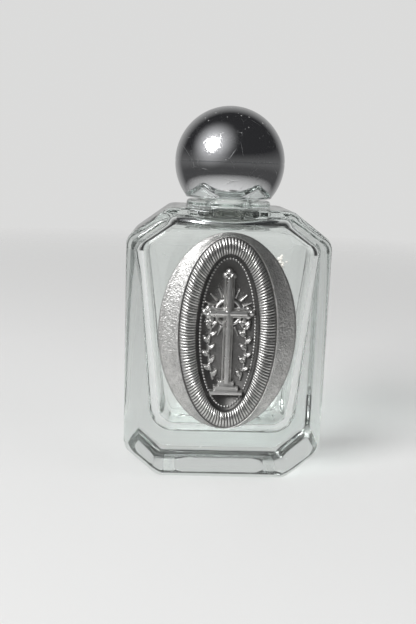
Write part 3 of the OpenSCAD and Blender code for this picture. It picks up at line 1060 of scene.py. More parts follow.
@dataclass
class BallCap:
    """Hollow chromed ball in two halves, with a threaded plastic sleeve and a foam liner inside."""

    shell: Finish
    sleeve: Finish
    foam: Finish
    ball_r: float
    ball_z: float
    rim_z: float
    ball_wall: float = 1.1
    rim_round: float = 0.28
    rim_start: float = -20.0
    ledge_h: float = 2.0
    socket_r: float = 6.75
    sleeve_wall: float = 0.6
    sleeve_edge: float = 0.15
    flange_t: float = 1.0
    fit_gap: float = 0.05
    spigot_h: float = 1.2
    spigot_t: float = 0.6
    post_r: float = 2.0
    groove: float = 0.113
    thread_in: float = 0.72
    thread_above: float = 1.0
    thread_turns: float = 1.5
    thread_step: float = 0.12
    liner_edge: float = 0.18
    pressed: float = 0.08
    pressed_in: float = 3.5
    pressed_out: float = 5.4
    pressed_slope: float = 0.2
    shell_steps: int = 144
    sleeve_steps: int = 120
    liner_steps: int = 96

    @classmethod
    def from_frame(cls, shell: Finish, sleeve: Finish, foam: Finish) -> "BallCap":
        """Take the ball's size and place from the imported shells.

        Args:
            shell: Finish of the ball.
            sleeve: Finish of the threaded sleeve.
            foam: Finish of the liner.

        Returns:
            The cap, ready to build.
        """
        low, high = node_box("cap_dome")
        ball_r = (high.x - low.x) / 2
        return cls(
            shell=shell, sleeve=sleeve, foam=foam,
            ball_r=ball_r, ball_z=high.z - ball_r, rim_z=node_box("cap_cup")[0].z,
        )

    @property
    def inner_r(self) -> float:
        """Radius of the ball's hollow."""
        return self.ball_r - self.ball_wall

    @property
    def sleeve_r(self) -> float:
        """Outer radius of the plastic sleeve."""
        return self.socket_r + self.sleeve_wall

    @property
    def ledge_r(self) -> float:
        """Radius of the hollow at the ledge that carries the sleeve."""
        return math.sqrt(self.inner_r**2 - (self.ball_z - self.rim_z - self.ledge_h) ** 2)

    @property
    def seam_angle(self) -> float:
        """Angle of the seam's edge above the ball's middle, in degrees."""
        return math.degrees(math.asin(self.groove / self.ball_r))

    def lifted(self, profile: Sequence[Point]) -> list[Point]:
        """Move a profile from the ball's middle to its place."""
        return [(radius, z + self.ball_z) for radius, z in profile]

    def build_dome(self) -> None:
        """Upper half, with its spigot and the post that stands on the sleeve."""
        out_r, in_r = self.ball_r, self.inner_r
        spigot_r = math.sqrt(in_r**2 - self.spigot_h**2) - self.fit_gap
        root = math.degrees(math.acos((spigot_r - self.spigot_t) / in_r))
        post = math.degrees(math.acos(self.post_r / in_r))
        post_z = node_box("cap_thread_insert")[1].z - self.ball_z
        profile = [(0.0, out_r)] + arc((0, 0), out_r, 89, self.seam_angle, 44)
        profile += [(out_r - self.groove, 0), (spigot_r, 0), (spigot_r, -self.spigot_h)]
        profile += [(spigot_r - self.spigot_t, -self.spigot_h)]
        profile += arc((0, 0), in_r, root, post, 24)
        profile += [(self.post_r, post_z), (0.0, post_z)]
        mesh = spun(self.lifted(profile), self.shell_steps)
        piece("cap_dome_shell", mesh, self.shell, Body.CAP, ("cap_dome",))

    def build_cup(self) -> None:
        """Lower half, open at a rounded rim, with a ledge inside."""
        out_r, in_r = self.ball_r, self.inner_r
        bore_r = self.sleeve_r + self.fit_gap
        rim = self.rim_z - self.ball_z
        rim_angle = math.degrees(math.asin((rim + self.rim_round) / out_r))
        rim_r = out_r * math.cos(math.radians(rim_angle))
        ledge = rim + self.ledge_h
        ledge_angle = math.degrees(math.asin(ledge / in_r))
        profile = arc((0, 0), out_r, -self.seam_angle, rim_angle, 28)
        outer, inner = self.rim_round, self.rim_round / 2
        profile += arc((rim_r - outer, rim + outer), outer, self.rim_start, -90, 5)
        profile += arc((bore_r + inner, rim + inner), inner, 270, 180, 3)
        profile += [(bore_r, ledge), (self.ledge_r, ledge)]
        profile += arc((0, 0), in_r, ledge_angle, 0, 14)[1:]
        profile += [(out_r - self.groove, 0)]
        mesh = spun(self.lifted(profile), self.shell_steps)
        piece("cap_cup_shell", mesh, self.shell, Body.CAP, ("cap_cup",))

    def build_sleeve(self) -> None:
        """Plastic sleeve with a flange on the ledge and the cap's own thread inside."""
        low, high = node_box("cap_thread_insert")
        roof = node_box("cap_liner")[1].z + self.fit_gap
        ledge = self.rim_z + self.ledge_h
        eased = self.sleeve_edge
        flange_r = self.ledge_r - self.fit_gap
        profile = [(0.0, high.z)]
        profile += arc((self.sleeve_r - eased, high.z - eased), eased, 90, 0, 3)
        profile += [(self.sleeve_r, ledge + self.flange_t)]
        profile += [(flange_r, ledge + self.flange_t), (flange_r, ledge), (self.sleeve_r, ledge)]
        profile += arc((self.sleeve_r - eased, low.z + eased), eased, 0, -90, 3)
        profile += arc((self.socket_r + eased, low.z + eased), eased, 270, 180, 3)
        count = round((roof - low.z - eased) / self.thread_step)
        profile += [(self.socket_r, z) for z in np.linspace(low.z + eased, roof, count + 1)[1:]]
        profile += [(0.0, roof)]
        mesh = spun(profile, self.sleeve_steps)
        helix = Helix(start_z=low.z + self.thread_above, turns=self.thread_turns)
        for vert in mesh.verts:
            x, y, z = vert.co
            radius = math.hypot(x, y)
            if abs(radius - self.socket_r) < 1e-3 and low.z + eased < z < roof - self.thread_step / 2:
                share = float(helix.rise(np.array([x]), np.array([y]), np.array([z]))[0])
                scale = 1 - self.thread_in * share / radius
                vert.co = (x * scale, y * scale, z)
        piece("cap_thread_sleeve", mesh, self.sleeve, Body.CAP, ("cap_thread_insert",))

    def build_liner(self) -> None:
        """Foam disc with eased edges and the ring that the glass lip has pressed into it."""
        low, high = node_box("cap_liner")
        radius = (high.x - low.x) / 2
        eased, pressed_z = self.liner_edge, low.z + self.pressed
        profile = [(0.0, high.z)]
        profile += arc((radius - eased, high.z - eased), eased, 90, 0, 4)
        profile += arc((radius - eased, low.z + eased), eased, 0, -90, 4)
        profile += [(self.pressed_out + self.pressed_slope, low.z), (self.pressed_out, pressed_z)]
        profile += [(self.pressed_in, pressed_z), (self.pressed_in - self.pressed_slope, low.z), (0.0, low.z)]
        mesh = spun(profile, self.liner_steps)
        piece("cap_liner_disc", mesh, self.foam, Body.LINER, ("cap_liner",))

    def build(self) -> None:
        """Make all four pieces."""
        self.build_dome()
        self.build_cup()
        self.build_sleeve()
        self.build_liner()


# The medal


@dataclass
class CrossRelief:
    """Heights of the field's design: a budded cross with a ring, on steps, between two leafy sprays."""

    grid: float = 0.09
    foot_v: float = -8.75
    steps_v: float = -11.45
    arms_v: float = 4.05
    top_v: float = 10.75
    arm: float = 3.6
    rise: float = 1.5
    bar_w: float = 2.2
    bar_power: float = 2.2
    bar_ease: float = 0.2
    frame_at: float = 0.62
    frame_w: float = 0.11
    frame_cut: float = 0.2
    bud_r: float = 0.7
    bud_apart: float = 0.85
    bud_out: float = 1.1
    ring_r: float = 2.3
    ring_t: float = 0.4
    ring_rise: float = 1.3
    step_h: float = 0.9
    step_w: float = 3.2
    step_out: float = 1.5
    step_count: int = 3
    step_ease: float = 0.14
    step_share: float = 0.8
    step_fall: float = 0.2
    spray_foot: float = 2.4
    spray_top: float = 3.0
    spray_bow: float = 0.7
    spray_gap: float = 2.6
    stalk_parts: int = 6
    stalk_share: float = 0.6
    leaf_count: int = 8
    leaf_l: float = 1.85
    leaf_w: float = 1.1
    leaf_rise: float = 0.8
    leaf_lean: float = 42.0
    leaf_ahead: float = 0.05
    leaf_belly: float = 0.8
    leaf_foot: float = 4.0
    leaf_tip: float = 3.0
    midrib_w: float = 0.07
    midrib_cut: float = 0.3
    flower_up: float = 0.4
    ray_angles: tuple[float, ...] = (-66.0, -45.0, -24.0, 24.0, 45.0, 66.0)
    ray_r: float = 4.7
    ray_w: float = 0.75
    ray_rise: float = 0.4
    ray_gap: float = 0.15
    ray_taper: float = 0.75
    ray_spread: float = 45.0
    bead_r: float = 0.27
    bead_pitch: float = 2.15
    bead_inset: float = 1.6
    stipple: float = 0.07
    stipple_seed: int = 11
    rub_reach: int = 4
    rub_h: float = 0.22
    rub_least: float = 0.3
    tall_h: float = 0.55
    low_shine: float = 0.26
    tall_shine: float = 0.44
    rubbed_shine: float = 0.5

    def bar(self, u: np.ndarray, v: np.ndarray, a: Point, b: Point, width: float, rise: float) -> np.ndarray:
        """A rounded bar with a cut line along each side.

        Args:
            u: Places to the right.
            v: Places upwards.
            a: Middle of one end.
            b: Middle of the other end.
            width: Full width at the foot.
            rise: Height of the ridge.

        Returns:
            The height at each place.
        """
        along = np.array(b) - np.array(a)
        length = np.hypot(*along)
        run = ((u - a[0]) * along[0] + (v - a[1]) * along[1]) / length
        off = np.abs((u - a[0]) * along[1] - (v - a[1]) * along[0]) / length
        ends = np.clip(np.minimum(run, length - run) / self.bar_ease, 0, 1)
        share = np.clip(off / (width / 2), 0, 1)
        cut = self.frame_cut * np.exp(-(((share - self.frame_at) / self.frame_w) ** 2))
        return rise * ends * (1 - share**self.bar_power - cut)

    def ball(self, u: np.ndarray, v: np.ndarray, place: Point, radius: float) -> np.ndarray:
        """A half ball."""
        return np.sqrt(np.clip(radius**2 - (u - place[0]) ** 2 - (v - place[1]) ** 2, 0, None))

    def leaf(self, u: np.ndarray, v: np.ndarray, start: Point, angle: float) -> np.ndarray:
        """A pointed leaf with a sunk midrib.

        Args:
            u: Places to the right.
            v: Places upwards.
            start: Where the leaf leaves its stalk.
            angle: Its direction in degrees.

        Returns:
            The height at each place.
        """
        turn = math.radians(angle)
        run = (u - start[0]) * math.cos(turn) + (v - start[1]) * math.sin(turn)
        off = np.abs((v - start[1]) * math.cos(turn) - (u - start[0]) * math.sin(turn))
        share = np.clip(run / self.leaf_l, 0, 1)
        half = self.leaf_w / 2 * np.sin(math.pi * share**self.leaf_belly) + 1e-6
        ends = smooth(share * self.leaf_foot) * smooth((1 - share) * self.leaf_tip)
        swell = np.clip(1 - (off / half) ** 2, 0, 1) * ends
        midrib = self.midrib_cut * np.exp(-((off / self.midrib_w) ** 2))
        return self.leaf_rise * swell * (1 - midrib)

    def spray_point(self, t: float) -> Point:
        """Point of the right-hand stalk, from its foot at 0 to its flower at 1."""
        u = self.spray_foot + (self.spray_top - self.spray_foot) * t + self.spray_bow * math.sin(math.pi * t)
        return u, self.foot_v + (self.arms_v - self.spray_gap - self.foot_v) * t

    def cross(self, u: np.ndarray, v: np.ndarray) -> list[np.ndarray]:
        """The cross with its buds, its ring and its steps.

        Args:
            u: Places to the right.
            v: Places upwards.

        Returns:
            The height of each part at each place.
        """
        arm, arms, top = self.arm, self.arms_v, self.top_v
        parts = [
            self.bar(u, v, (0, self.foot_v - self.step_h / 2), (0, top), self.bar_w, self.rise),
            self.bar(u, v, (-arm, arms), (arm, arms), self.bar_w, self.rise),
        ]
        apart = self.bud_r * self.bud_apart
        for (end_u, end_v), (du, dv) in (((0, top), (0, 1)), ((arm, arms), (1, 0)), ((-arm, arms), (-1, 0))):
            for out, side in ((0, -1), (0, 1), (self.bud_out, 0)):
                place = (end_u + apart * (out * du - side * dv), end_v + apart * (out * dv + side * du))
                parts.append(self.ball(u, v, place, self.bud_r))
        near = np.abs(np.hypot(u, v - arms) - self.ring_r)
        parts.append(self.ring_rise * np.sqrt(np.clip(self.ring_t**2 - near**2, 0, None)))
        for i in range(self.step_count):
            half = (self.step_w + self.step_out * (self.step_count - 1 - i)) / 2
            low, high = self.steps_v, self.steps_v + self.step_h * (i + 1)
            inside = np.minimum(half - np.abs(u), np.minimum(v - low, high - v))
            share = self.step_share - self.step_fall * i
            parts.append(self.rise * share * np.clip(inside / self.step_ease, 0, 1))
        return parts

    def rays(self, u: np.ndarray, v: np.ndarray) -> list[np.ndarray]:
        """Low rays between the cross's arms, each tapering outwards.

        Args:
            u: Places to the right.
            v: Places upwards.

        Returns:
            The height of each part at each place.
        """
        parts = []
        away = np.hypot(u, v - self.arms_v)
        heading = np.degrees(np.arctan2(v - self.arms_v, np.abs(u)))
        start, end = self.ring_r + self.ring_t + self.ray_gap, self.ray_r
        share = np.clip((away - start) / (end - start), 0, 1)
        half = self.ray_w / 2 * (1 - self.ray_taper * share)
        for angle in self.ray_angles:
            off = away * np.abs(np.sin(np.radians(heading - angle)))
            inside = (away > start) & (away < end) & (np.abs(heading - angle) < self.ray_spread)
            parts.append(np.where(inside, self.ray_rise * np.clip(1 - (off / half) ** 2, 0, 1), 0))
        return parts

    def beads(self, u: np.ndarray, v: np.ndarray, half: np.ndarray) -> np.ndarray:
        """A row of small beads along the field's edge.

        Args:
            u: Places to the right.
            v: Places upwards.
            half: Half axes of the oval that the beads follow.

        Returns:
            The height at each place.
        """
        angles = even_angles(half, round(oval_length(half) / (self.bead_pitch * self.bead_r)))
        best = np.zeros_like(u)
        for place in zip(half[0] * np.cos(angles), half[1] * np.sin(angles)):
            best = np.maximum(best, self.ball(u, v, place, self.bead_r))
        return best

    def sprays(self, u: np.ndarray, v: np.ndarray) -> list[np.ndarray]:
        """The two sprays, which mirror each other: stalk, leaves and a flower of three petals.

        Args:
            u: Places to the right.
            v: Places upwards.

        Returns:
            The height of each part at each place.
        """
        side = np.abs(u)
        knots = [self.spray_point(i / self.stalk_parts) for i in range(self.stalk_parts + 1)]
        stalk_w, stalk_rise = self.leaf_w * self.stalk_share, self.leaf_rise * self.stalk_share
        parts = [self.bar(side, v, a, b, stalk_w, stalk_rise) for a, b in zip(knots, knots[1:])]
        for i in range(self.leaf_count):
            t = (i + 0.5) / self.leaf_count
            start, ahead = self.spray_point(t), self.spray_point(t + self.leaf_ahead)
            heading = math.degrees(math.atan2(ahead[1] - start[1], ahead[0] - start[0]))
            lean = self.leaf_lean if i % 2 == 0 else -self.leaf_lean
            parts.append(self.leaf(side, v, start, heading + lean))
        flower_u, flower_v = self.spray_point(1)
        for lean in (-self.leaf_lean, self.leaf_lean):
            parts.append(self.leaf(side, v, (flower_u, flower_v), 90 + lean))
        parts.append(self.leaf(side, v, (flower_u, flower_v + self.leaf_w * self.flower_up), 90))
        return parts

    def heights(self, u: np.ndarray, v: np.ndarray, half: np.ndarray) -> np.ndarray:
        """Height of the relief over the field, with a stippled ground.

        Args:
            u: Places to the right.
            v: Places upwards.
            half: Half axes of the field.

        Returns:
            The height at each place.
        """
        rng = np.random.default_rng(self.stipple_seed)
        ground = self.stipple * rng.random(len(u))
        edge = self.beads(u, v, half - self.bead_inset * self.bead_r)
        return np.maximum.reduce([ground, edge] + self.cross(u, v) + self.rays(u, v) + self.sprays(u, v))

    def polish(self, heights: np.ndarray) -> np.ndarray:
        """How bright each place is rubbed: highs are bright, and hollows keep their dark oxide.

        Args:
            heights: The relief as a grid.

        Returns:
            A grid of values from 0 to 1.
        """
        wide = heights
        reach = self.rub_reach
        for axis in (0, 1):
            wide = sum(np.roll(wide, shift, axis) for shift in range(-reach, reach + 1)) / (2 * reach + 1)
        rubbed = np.clip((heights - wide) / self.rub_h + self.rub_least, 0, 1)
        tall = np.clip(heights / self.tall_h, 0, 1)
        return np.clip(self.low_shine + self.tall_shine * tall + self.rubbed_shine * rubbed * tall, 0, 1)


@dataclass
class OvalMedal:
    """Cast oval medal: sloping margin, ribbed band, and a sunk field with a stepped cross between sprays.

    Places on it are u to the right, v up and h out of the bottle's face. The back edge is given as rows of
    inset, height and frost.
    """

    finish: Finish
    width: float
    height: float
    centre_z: float
    back_y: float
    back_edge: Rows = ((0.25, 0.0, 0.4), (0.06, 0.1, 0.4), (0.0, 0.25, 0.5))
    edge_t: float = 0.6
    edge_round: float = 0.26
    edge_frost: float = 0.7
    margin_side: float = 3.9
    margin_end: float = 0.8
    margin_bow: float = 1.5
    margin_steps: int = 12
    lip_out: float = 0.22
    lip_h: float = 0.12
    gutter_out: float = 0.1
    gutter_cut: float = 0.02
    gutter_frost: float = 0.2
    rim_t: float = 1.9
    band_w: float = 3.0
    band_bow: float = 0.8
    band_steps: int = 16
    rib_count: int = 146
    rib_points: int = 8
    rib_h: float = 0.75
    rib_uneven: float = 0.05
    rib_seed: int = 5
    rib_groove: float = 0.42
    groove_power: float = 3.5
    wall_lean: float = 0.32
    wall_steps: tuple[float, ...] = (0.3, 0.7, 1.0)
    field_t: float = 1.1
    sunk: float = 0.15
    bare_shine: float = 0.16
    rib_shine: float = 0.95
    rib_shine_bow: float = 0.4
    relief_over: float = 0.2
    relief: CrossRelief = field(default_factory=CrossRelief)

    @classmethod
    def from_frame(cls, finish: Finish) -> "OvalMedal":
        """Take the medal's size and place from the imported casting.

        Args:
            finish: The medal's finish.

        Returns:
            The medal, ready to build.
        """
        low, high = node_box("medal_plaque")
        return cls(
            finish=finish, width=high.x - low.x, height=high.z - low.z,
            centre_z=(low.z + high.z) / 2, back_y=high.y,
        )

    def placed(self, u: np.ndarray, v: np.ndarray, h: np.ndarray) -> np.ndarray:
        """Bring places on the medal into the bottle's frame."""
        return np.column_stack([u, self.back_y - h, v + self.centre_z])

    @property
    def full(self) -> np.ndarray:
        """Half axes of the whole oval."""
        return np.array([self.width, self.height]) / 2

    @property
    def band_out(self) -> np.ndarray:
        """Half axes of the ribbed band's outer edge."""
        return self.full - np.array([self.margin_side, self.margin_end])

    @property
    def band_in(self) -> np.ndarray:
        """Half axes of the ribbed band's inner edge."""
        return self.band_out - self.band_w

    def rib_angles(self) -> np.ndarray:
        """Angles of the ring's points, spaced so that ribs are even along the middle of the band."""
        return even_angles((self.band_out + self.band_in) / 2, self.rib_count * self.rib_points)

    def plate_rings(self) -> list[tuple[np.ndarray, float, float, float]]:
        """The plate's rings, from the back edge over the band to the sunk field.

        Returns:
            Rows of half axes, height, share of the ribs and share of the frosted margin.
        """
        full, out, inn = self.full, self.band_out, self.band_in
        rings = [(full - inset, h, 0, frost) for inset, h, frost in self.back_edge]
        for r, h in arc((0, self.edge_t - self.edge_round), self.edge_round, 0, 70, 5):
            rings.append((full - self.edge_round + r, h, 0, self.edge_frost))
        foot, foot_h = rings[-1][:2]
        lip, lip_h = out + self.lip_out, self.rim_t + self.lip_h
        for share in np.linspace(0, 1, self.margin_steps + 1)[1:]:
            h = foot_h + (lip_h - foot_h) * share**self.margin_bow
            rings.append((foot + (lip - foot) * share, h, 0, 1.0))
        rings.append((out + self.gutter_out, self.rim_t - self.gutter_cut, 0, self.gutter_frost))
        for share in np.linspace(0, 1, self.band_steps + 1):
            rib = math.sin(math.pi * share) ** self.band_bow
            rings.append((out + (inn - out) * share, self.rim_t, rib, 0))
        drop = self.rim_t - self.field_t + self.sunk
        for share in self.wall_steps:
            rings.append((inn - self.wall_lean * share, self.rim_t - drop * share, 0, 0))
        return rings

    def build_plate(self) -> None:
        """Loft the plate and its ribs, with polish on the ribs' crests."""
        angles = self.rib_angles()
        count = len(angles)
        phase = np.arange(count) % self.rib_points / self.rib_points
        valley = (0.5 - 0.5 * np.cos(math.tau * phase)) ** self.groove_power
        rng = np.random.default_rng(self.rib_seed)
        uneven = np.repeat(1 + rng.normal(0, self.rib_uneven, self.rib_count), self.rib_points)
        loft = RingLoft(count)
        polish = loft.mesh.verts.layers.float.new(Attribute.POLISH.value)
        frost = loft.mesh.verts.layers.float.new(Attribute.FROST.value)
        first: list = []
        for axes, base, rib, frosted in self.plate_rings():
            h = base + rib * (self.rib_h * uneven - self.rib_groove * valley)
            shine = self.bare_shine + (1 - self.bare_shine) * frosted
            shine = np.clip(shine + rib**self.rib_shine_bow * self.rib_shine * (1 - valley), 0, 1)
            last = loft.add(self.placed(axes[0] * np.cos(angles), axes[1] * np.sin(angles), h))
            first = first or list(last)
            for vert, value in zip(last, shine):
                vert[polish] = value
                vert[frost] = frosted
        loft.close(first, (0, self.back_y, self.centre_z))
        loft.close(last, (0, self.back_y - self.field_t + self.sunk, self.centre_z))
        tidy(loft.mesh)
        piece(
            "medal_plate", loft.mesh, self.finish, Body.BOTTLE, ("medal_plaque",), crease=None
        )

    def build_relief(self) -> None:
        """Raise the field's relief from a fine grid, and close it underneath."""
        mesh = bmesh.new()
        half = self.band_in + self.relief_over
        counts = [round(2 * side / self.relief.grid) for side in half]
        bmesh.ops.create_grid(mesh, x_segments=counts[0], y_segments=counts[1], size=1.0)
        flat = np.array([vert.co[:2] for vert in mesh.verts])
        column, row = np.rint((flat + 1) / 2 * counts).astype(int).T
        u, v = (flat * half).T
        grid = np.zeros((counts[1] + 1, counts[0] + 1))
        grid[row, column] = self.relief.heights(u, v, self.band_in - self.wall_lean)
        shine = self.relief.polish(grid)[row, column]
        places = self.placed(u, v, self.field_t + grid[row, column])
        polish = mesh.verts.layers.float.new(Attribute.POLISH.value)
        mesh.verts.layers.float.new(Attribute.FROST.value)
        for vert, place, value in zip(mesh.verts, places, shine):
            vert.co = place
            vert[polish] = value
        outside = [vert for vert, (x, y) in zip(mesh.verts, flat) if x * x + y * y > 1]
        bmesh.ops.delete(mesh, geom=outside, context="VERTS")
        loose = [vert for vert in mesh.verts if not vert.link_faces]
        bmesh.ops.delete(mesh, geom=loose, context="VERTS")
        under_y = self.back_y - self.field_t + 2 * self.sunk
        for _ in range(2):
            rim = [edge for edge in mesh.edges if edge.is_boundary]
            made = bmesh.ops.extrude_edge_only(mesh, edges=rim)["geom"]
            lower = [item for item in made if isinstance(item, bmesh.types.BMVert)]
            for vert in lower:
                vert.co.y = under_y
        bmesh.ops.pointmerge(mesh, verts=lower, merge_co=Vector((0, under_y, self.centre_z)))
        tidy(mesh)
        piece(
            "medal_relief", mesh, self.finish, Body.BOTTLE, ("medal_plaque",), crease=None
        )

    def build(self) -> None:
        """Make the plate and the relief on it."""
        self.build_plate()
        self.build_relief()


# The glue


@dataclass
class GlueBed:
    """Dried glue: an uneven pad behind the medal, and a little that has squeezed out at its edge.

    The pad's rings are given as rows of inset and share of the way from the medal to the glass.
    """

    finish: Finish
    low: Vector
    high: Vector
    pad_points: int = 180
    pad_rings: Rows = ((0.5, 1.0), (0.1, 0.97), (0.0, 0.5), (0.1, 0.03), (0.5, 0.0))
    pad_seed: int = 3
    wobble: float = 0.6
    first_wave: int = 2
    last_wave: int = 11
    least_wave: float = 0.3
    fleck_u: float = 9.1
    fleck_v: float = 13.4
    fleck_w: float = 2.3
    fleck_h: float = 2.3
    fleck_t: float = 0.7
    fleck_under: float = 0.002
    fleck_seed: int = 8
    crumbs: int = 34
    crumb_spread: float = 0.24
    small_crumb: float = 0.16
    big_crumb: float = 0.5
    crumb_fade: float = 0.5
    dented: float = 0.72
    swollen: float = 1.12
    crumb_crease: float = 25.0

    @classmethod
    def from_frame(cls, finish: Finish) -> "GlueBed":
        """Take the pad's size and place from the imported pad."""
        low, high = node_box("glue_pad")
        return cls(finish=finish, low=low, high=high)

    @property
    def middle_z(self) -> float:
        """Height of the pad's middle."""
        return (self.low.z + self.high.z) / 2

    def wander(self, angles: np.ndarray) -> np.ndarray:
        """How far the pad's edge falls short of its oval, at each angle.

        Args:
            angles: Angles round the pad.

        Returns:
            Distances, which are 0 or below.
        """
        rng = np.random.default_rng(self.pad_seed)
        waves = sum(
            rng.uniform(self.least_wave, 1.0) / k * np.cos(k * angles + rng.uniform(0, math.tau))
            for k in range(self.first_wave, self.last_wave + 1)
        )
        return (waves - waves.max()) / np.ptp(waves) * self.wobble

    def build_pad(self) -> None:
        """A thin oval with a wandering edge that bulges between the glass and the medal."""
        angles = np.linspace(0, math.tau, self.pad_points, endpoint=False)
        wander = self.wander(angles)
        half_w, half_h = (self.high.x - self.low.x) / 2, (self.high.z - self.low.z) / 2
        loft = RingLoft(self.pad_points)
        rings = []
        for inset, share in self.pad_rings:
            x = (half_w + wander - inset) * np.cos(angles)
            z = self.middle_z + (half_h + wander - inset) * np.sin(angles)
            y = np.full_like(x, self.low.y + (self.high.y - self.low.y) * share)
            rings.append(list(loft.add(np.column_stack([x, y, z]))))
        loft.close(rings[0], (0, self.high.y, self.middle_z))
        loft.close(rings[-1], (0, self.low.y, self.middle_z))
        tidy(loft.mesh)
        piece("glue_bed", loft.mesh, self.finish, Body.BOTTLE, ("glue_pad",))

    def build_fleck(self) -> None:
        """A cluster of dried crumbs on the glass beside the medal."""
        mesh = bmesh.new()
        rng = np.random.default_rng(self.fleck_seed)
        middle = Vector((self.fleck_u, self.high.y, self.middle_z + self.fleck_v))
        for _ in range(self.crumbs):
            spot = rng.normal(0, self.crumb_spread, 2)
            place = middle + Vector((spot[0] * self.fleck_w, 0, spot[1] * self.fleck_h))
            size = rng.uniform(self.small_crumb, self.big_crumb)
            radius = size * (1 - self.crumb_fade * min(1, float(np.hypot(*spot))))
            made = bmesh.ops.create_icosphere(mesh, subdivisions=2, radius=radius)["verts"]
            for vert in made:
                out = vert.co * rng.uniform(self.dented, self.swollen)
                out.y *= self.fleck_t / self.big_crumb if out.y < 0 else self.fleck_under
                vert.co = place + out
        tidy(mesh)
        piece("glue_fleck", mesh, self.finish, Body.BOTTLE, crease=self.crumb_crease)

    def build(self) -> None:
        """Make the pad and the crumbs."""
        self.build_pad()
        self.build_fleck()


# The studio


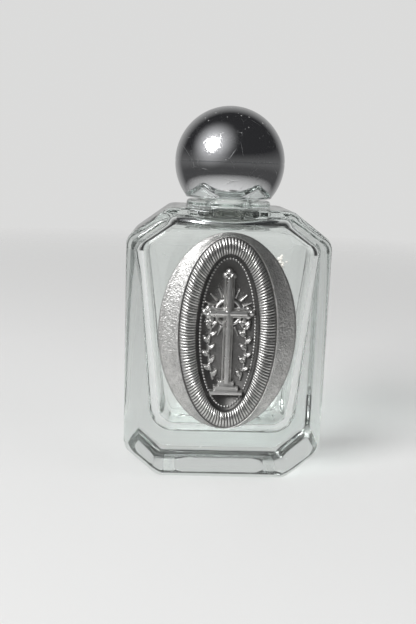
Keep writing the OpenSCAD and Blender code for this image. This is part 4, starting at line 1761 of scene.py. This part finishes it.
@dataclass
class Studio:
    """Pale floor, soft light and the camera, which looks from where the photograph was taken."""

    target_z: float = 30.0
    distance: float = 148.0
    elevation: float = 11.4
    azimuth: float = -3.4
    lens: float = 42.62
    sensor: float = 36.0
    nearest: float = 0.01
    yaw: float = 1.233
    pitch: float = 0.314
    roll: float = 2.24
    floor_r: float = 1.5
    floor_sides: int = 128
    lamp_distance: float = 0.9
    key_power: float = 7.0
    key_size: float = 0.42
    key_azimuth: float = -46.0
    key_elevation: float = 36.0
    fill_power: float = 1.2
    fill_size: float = 0.6
    fill_azimuth: float = 60.0
    fill_elevation: float = 30.0
    bounces: int = 24
    mirror_bounces: int = 10
    ambient: float = 0.42
    pale: Colour = (0.71, 0.71, 0.705, 1.0)
    dusk: Colour = (0.04, 0.04, 0.04, 1.0)
    dim: Colour = (0.03, 0.03, 0.032, 1.0)
    glow: Colour = (0.8, 0.8, 0.81, 1.0)
    glow_edge: float = 0.62
    glow_power: float = 2.0
    horizon: float = 0.17
    horizon_top: float = 0.3
    horizon_foot: float = -0.2
    foot_share: float = 0.4
    back_wall: float = 0.6
    back_edge: float = 0.45
    back_middle: float = 0.95
    dusk_edge: float = 0.3
    dusk_end: float = 0.85

    def bearing(self, azimuth: float, elevation: float) -> Vector:
        """Direction from the bottle: azimuth from the camera's side to the right, then upwards."""
        turn, lift = math.radians(azimuth), math.radians(elevation)
        return Vector((math.sin(turn) * math.cos(lift), -math.cos(turn) * math.cos(lift), math.sin(lift)))

    def facing(self, out: Vector) -> Matrix:
        """Turn of a camera or lamp that stands out in a direction and looks back."""
        return (-out).to_track_quat("-Z", "Y").to_matrix().to_4x4()

    def build_camera(self) -> None:
        """Aim at the bottle's middle, then turn the frame to where the photograph has it."""
        data = bpy.data.cameras.new("camera")
        data.lens = self.lens
        data.sensor_width = self.sensor
        data.clip_start = self.nearest
        camera = put_in_scene("camera", data)
        out = self.bearing(self.azimuth, self.elevation)
        aim = self.facing(out)
        for angle, axis in ((self.roll, "Z"), (self.yaw, "Y"), (self.pitch, "X")):
            aim = aim @ Matrix.Rotation(math.radians(angle), 4, axis)
        place = Vector((0, 0, self.target_z * MM)) + out * self.distance * MM
        camera.matrix_world = Matrix.Translation(place) @ aim
        bpy.context.scene.camera = camera

    def build_lamp(self, name: str, out: Vector, size: float, power: float) -> bpy.types.Object:
        """A round soft lamp that faces the bottle.

        Args:
            name: The lamp's name.
            out: Direction that it stands in.
            size: Its diameter in metres.
            power: Its power in watts.

        Returns:
            The lamp.
        """
        data = bpy.data.lights.new(name, "AREA")
        data.shape = "DISK"
        data.size = size
        data.energy = power
        lamp = put_in_scene(name, data)
        lamp.matrix_world = Matrix.Translation(out * self.lamp_distance) @ self.facing(out)
        return lamp

    def build_floor(self) -> None:
        """A wide round floor under the bottle."""
        mesh = bmesh.new()
        bmesh.ops.create_circle(mesh, cap_ends=True, segments=self.floor_sides, radius=self.floor_r)
        data = bpy.data.meshes.new("floor")
        mesh.to_mesh(data)
        mesh.free()
        data.materials.append(StudioPaper("studio_paper").material())
        put_in_scene("floor", data)

    def mirrored_room(self, sheet: ShaderSheet, way: Socket, parts: Outputs) -> Socket:
        """Colour of the dim room that metal and glass mirror.

        Args:
            sheet: The world's tree.
            way: Direction of the look.
            parts: The direction's parts along the frame's axes.

        Returns:
            A glow round the key lamp, a faint horizon and a paler wall behind, on a dim ground.
        """
        key = self.bearing(self.key_azimuth, self.key_elevation)
        facing = sheet.put("ShaderNodeVectorMath", {0: way, 1: key}, operation="DOT_PRODUCT")
        lit = sheet.span(facing.outputs["Value"], self.glow_edge, 1.0)
        above = sheet.span(parts["Z"], 0.0, self.horizon_top, self.horizon, 0.0)
        below = sheet.span(parts["Z"], self.horizon_foot, 0.0, self.foot_share, 1.0)
        wall = sheet.span(parts["Y"], self.back_edge, self.back_middle, 0.0, self.back_wall)
        level = sheet.maths("MAXIMUM", sheet.maths("MULTIPLY", above, below), wall)
        room = sheet.colours(level, self.dim, self.pale)
        return sheet.colours(sheet.maths("POWER", lit, self.glow_power), room, self.glow)

    def build_world(self) -> None:
        """Even light for the surfaces, a pale background, and a dim room for metal and glass to mirror."""
        world = bpy.data.worlds.new("studio")
        bpy.context.scene.world = world
        world.use_nodes = True
        sheet = ShaderSheet(world.node_tree)
        path = sheet.light_path()
        way = sheet.put("ShaderNodeTexCoord").outputs["Generated"]
        parts = sheet.put("ShaderNodeSeparateXYZ", {0: way}).outputs
        ahead = sheet.span(sheet.maths("ABSOLUTE", parts["Y"]), self.dusk_edge, self.dusk_end)
        through = sheet.colours(ahead, self.dusk, self.pale)
        straight = sheet.colours(path["Is Transmission Ray"], self.pale, through)
        room = self.mirrored_room(sheet, way, parts)
        seen = sheet.colours(sheet.mirrored(path), straight, room)
        shown = sheet.maths("MAXIMUM", path["Is Camera Ray"], path["Is Transmission Ray"])
        shown = sheet.maths("MAXIMUM", shown, path["Is Glossy Ray"])
        light = sheet.put("ShaderNodeBackground", {"Color": (1, 1, 1, 1), "Strength": self.ambient})
        view = sheet.put("ShaderNodeBackground", {"Color": seen})
        sheet.put("ShaderNodeOutputWorld", {"Surface": sheet.shaders(shown, light, view)})

    def build(self) -> None:
        """Set up the camera, the floor and the light, which may bounce long inside the thick glass."""
        scene = bpy.context.scene
        scene.view_settings.view_transform = "Standard"
        scene.cycles.max_bounces = self.bounces
        scene.cycles.glossy_bounces = self.mirror_bounces
        scene.cycles.transmission_bounces = self.bounces
        self.build_camera()
        self.build_floor()
        self.build_world()
        key = self.bearing(self.key_azimuth, self.key_elevation)
        self.build_lamp("key_lamp", key, self.key_size, self.key_power)
        side = self.bearing(self.fill_azimuth, self.fill_elevation)
        fill = self.build_lamp("fill_lamp", side, self.fill_size, self.fill_power)
        fill.visible_glossy = False


def main() -> None:
    """Build the studio and every piece of the bottle."""
    logging.basicConfig(level=logging.INFO, format="%(message)s")
    make_grain_group()
    make_hairline_group()
    make_dust_group()
    Studio().build()
    chrome = ChromeShell("chromed_plastic")
    sleeve = MouldedPlastic("sleeve_plastic")
    foam = MouldedPlastic(
        "pressed_foam", body=(0.9, 0.9, 0.88, 1), gloss=0.75, worn_gloss=0.9,
        grain_scale=4200.0, grain_depth=0.06,
    )
    glue = MouldedPlastic(
        "clouded_glue", body=(0.84, 0.83, 0.78, 1), grime=(0.93, 0.93, 0.9, 1), gloss=0.28, worn_gloss=0.6,
        grain_scale=3200.0, grain_depth=0.12, speck_cover=0.2,
    )
    GlassBottle.from_frame(ClearGlass("pressed_glass")).build()
    BallCap.from_frame(chrome, sleeve, foam).build()
    OvalMedal.from_frame(AntiquedPewter("cast_pewter")).build()
    GlueBed.from_frame(glue).build()


if __name__ == "__main__":
    main()
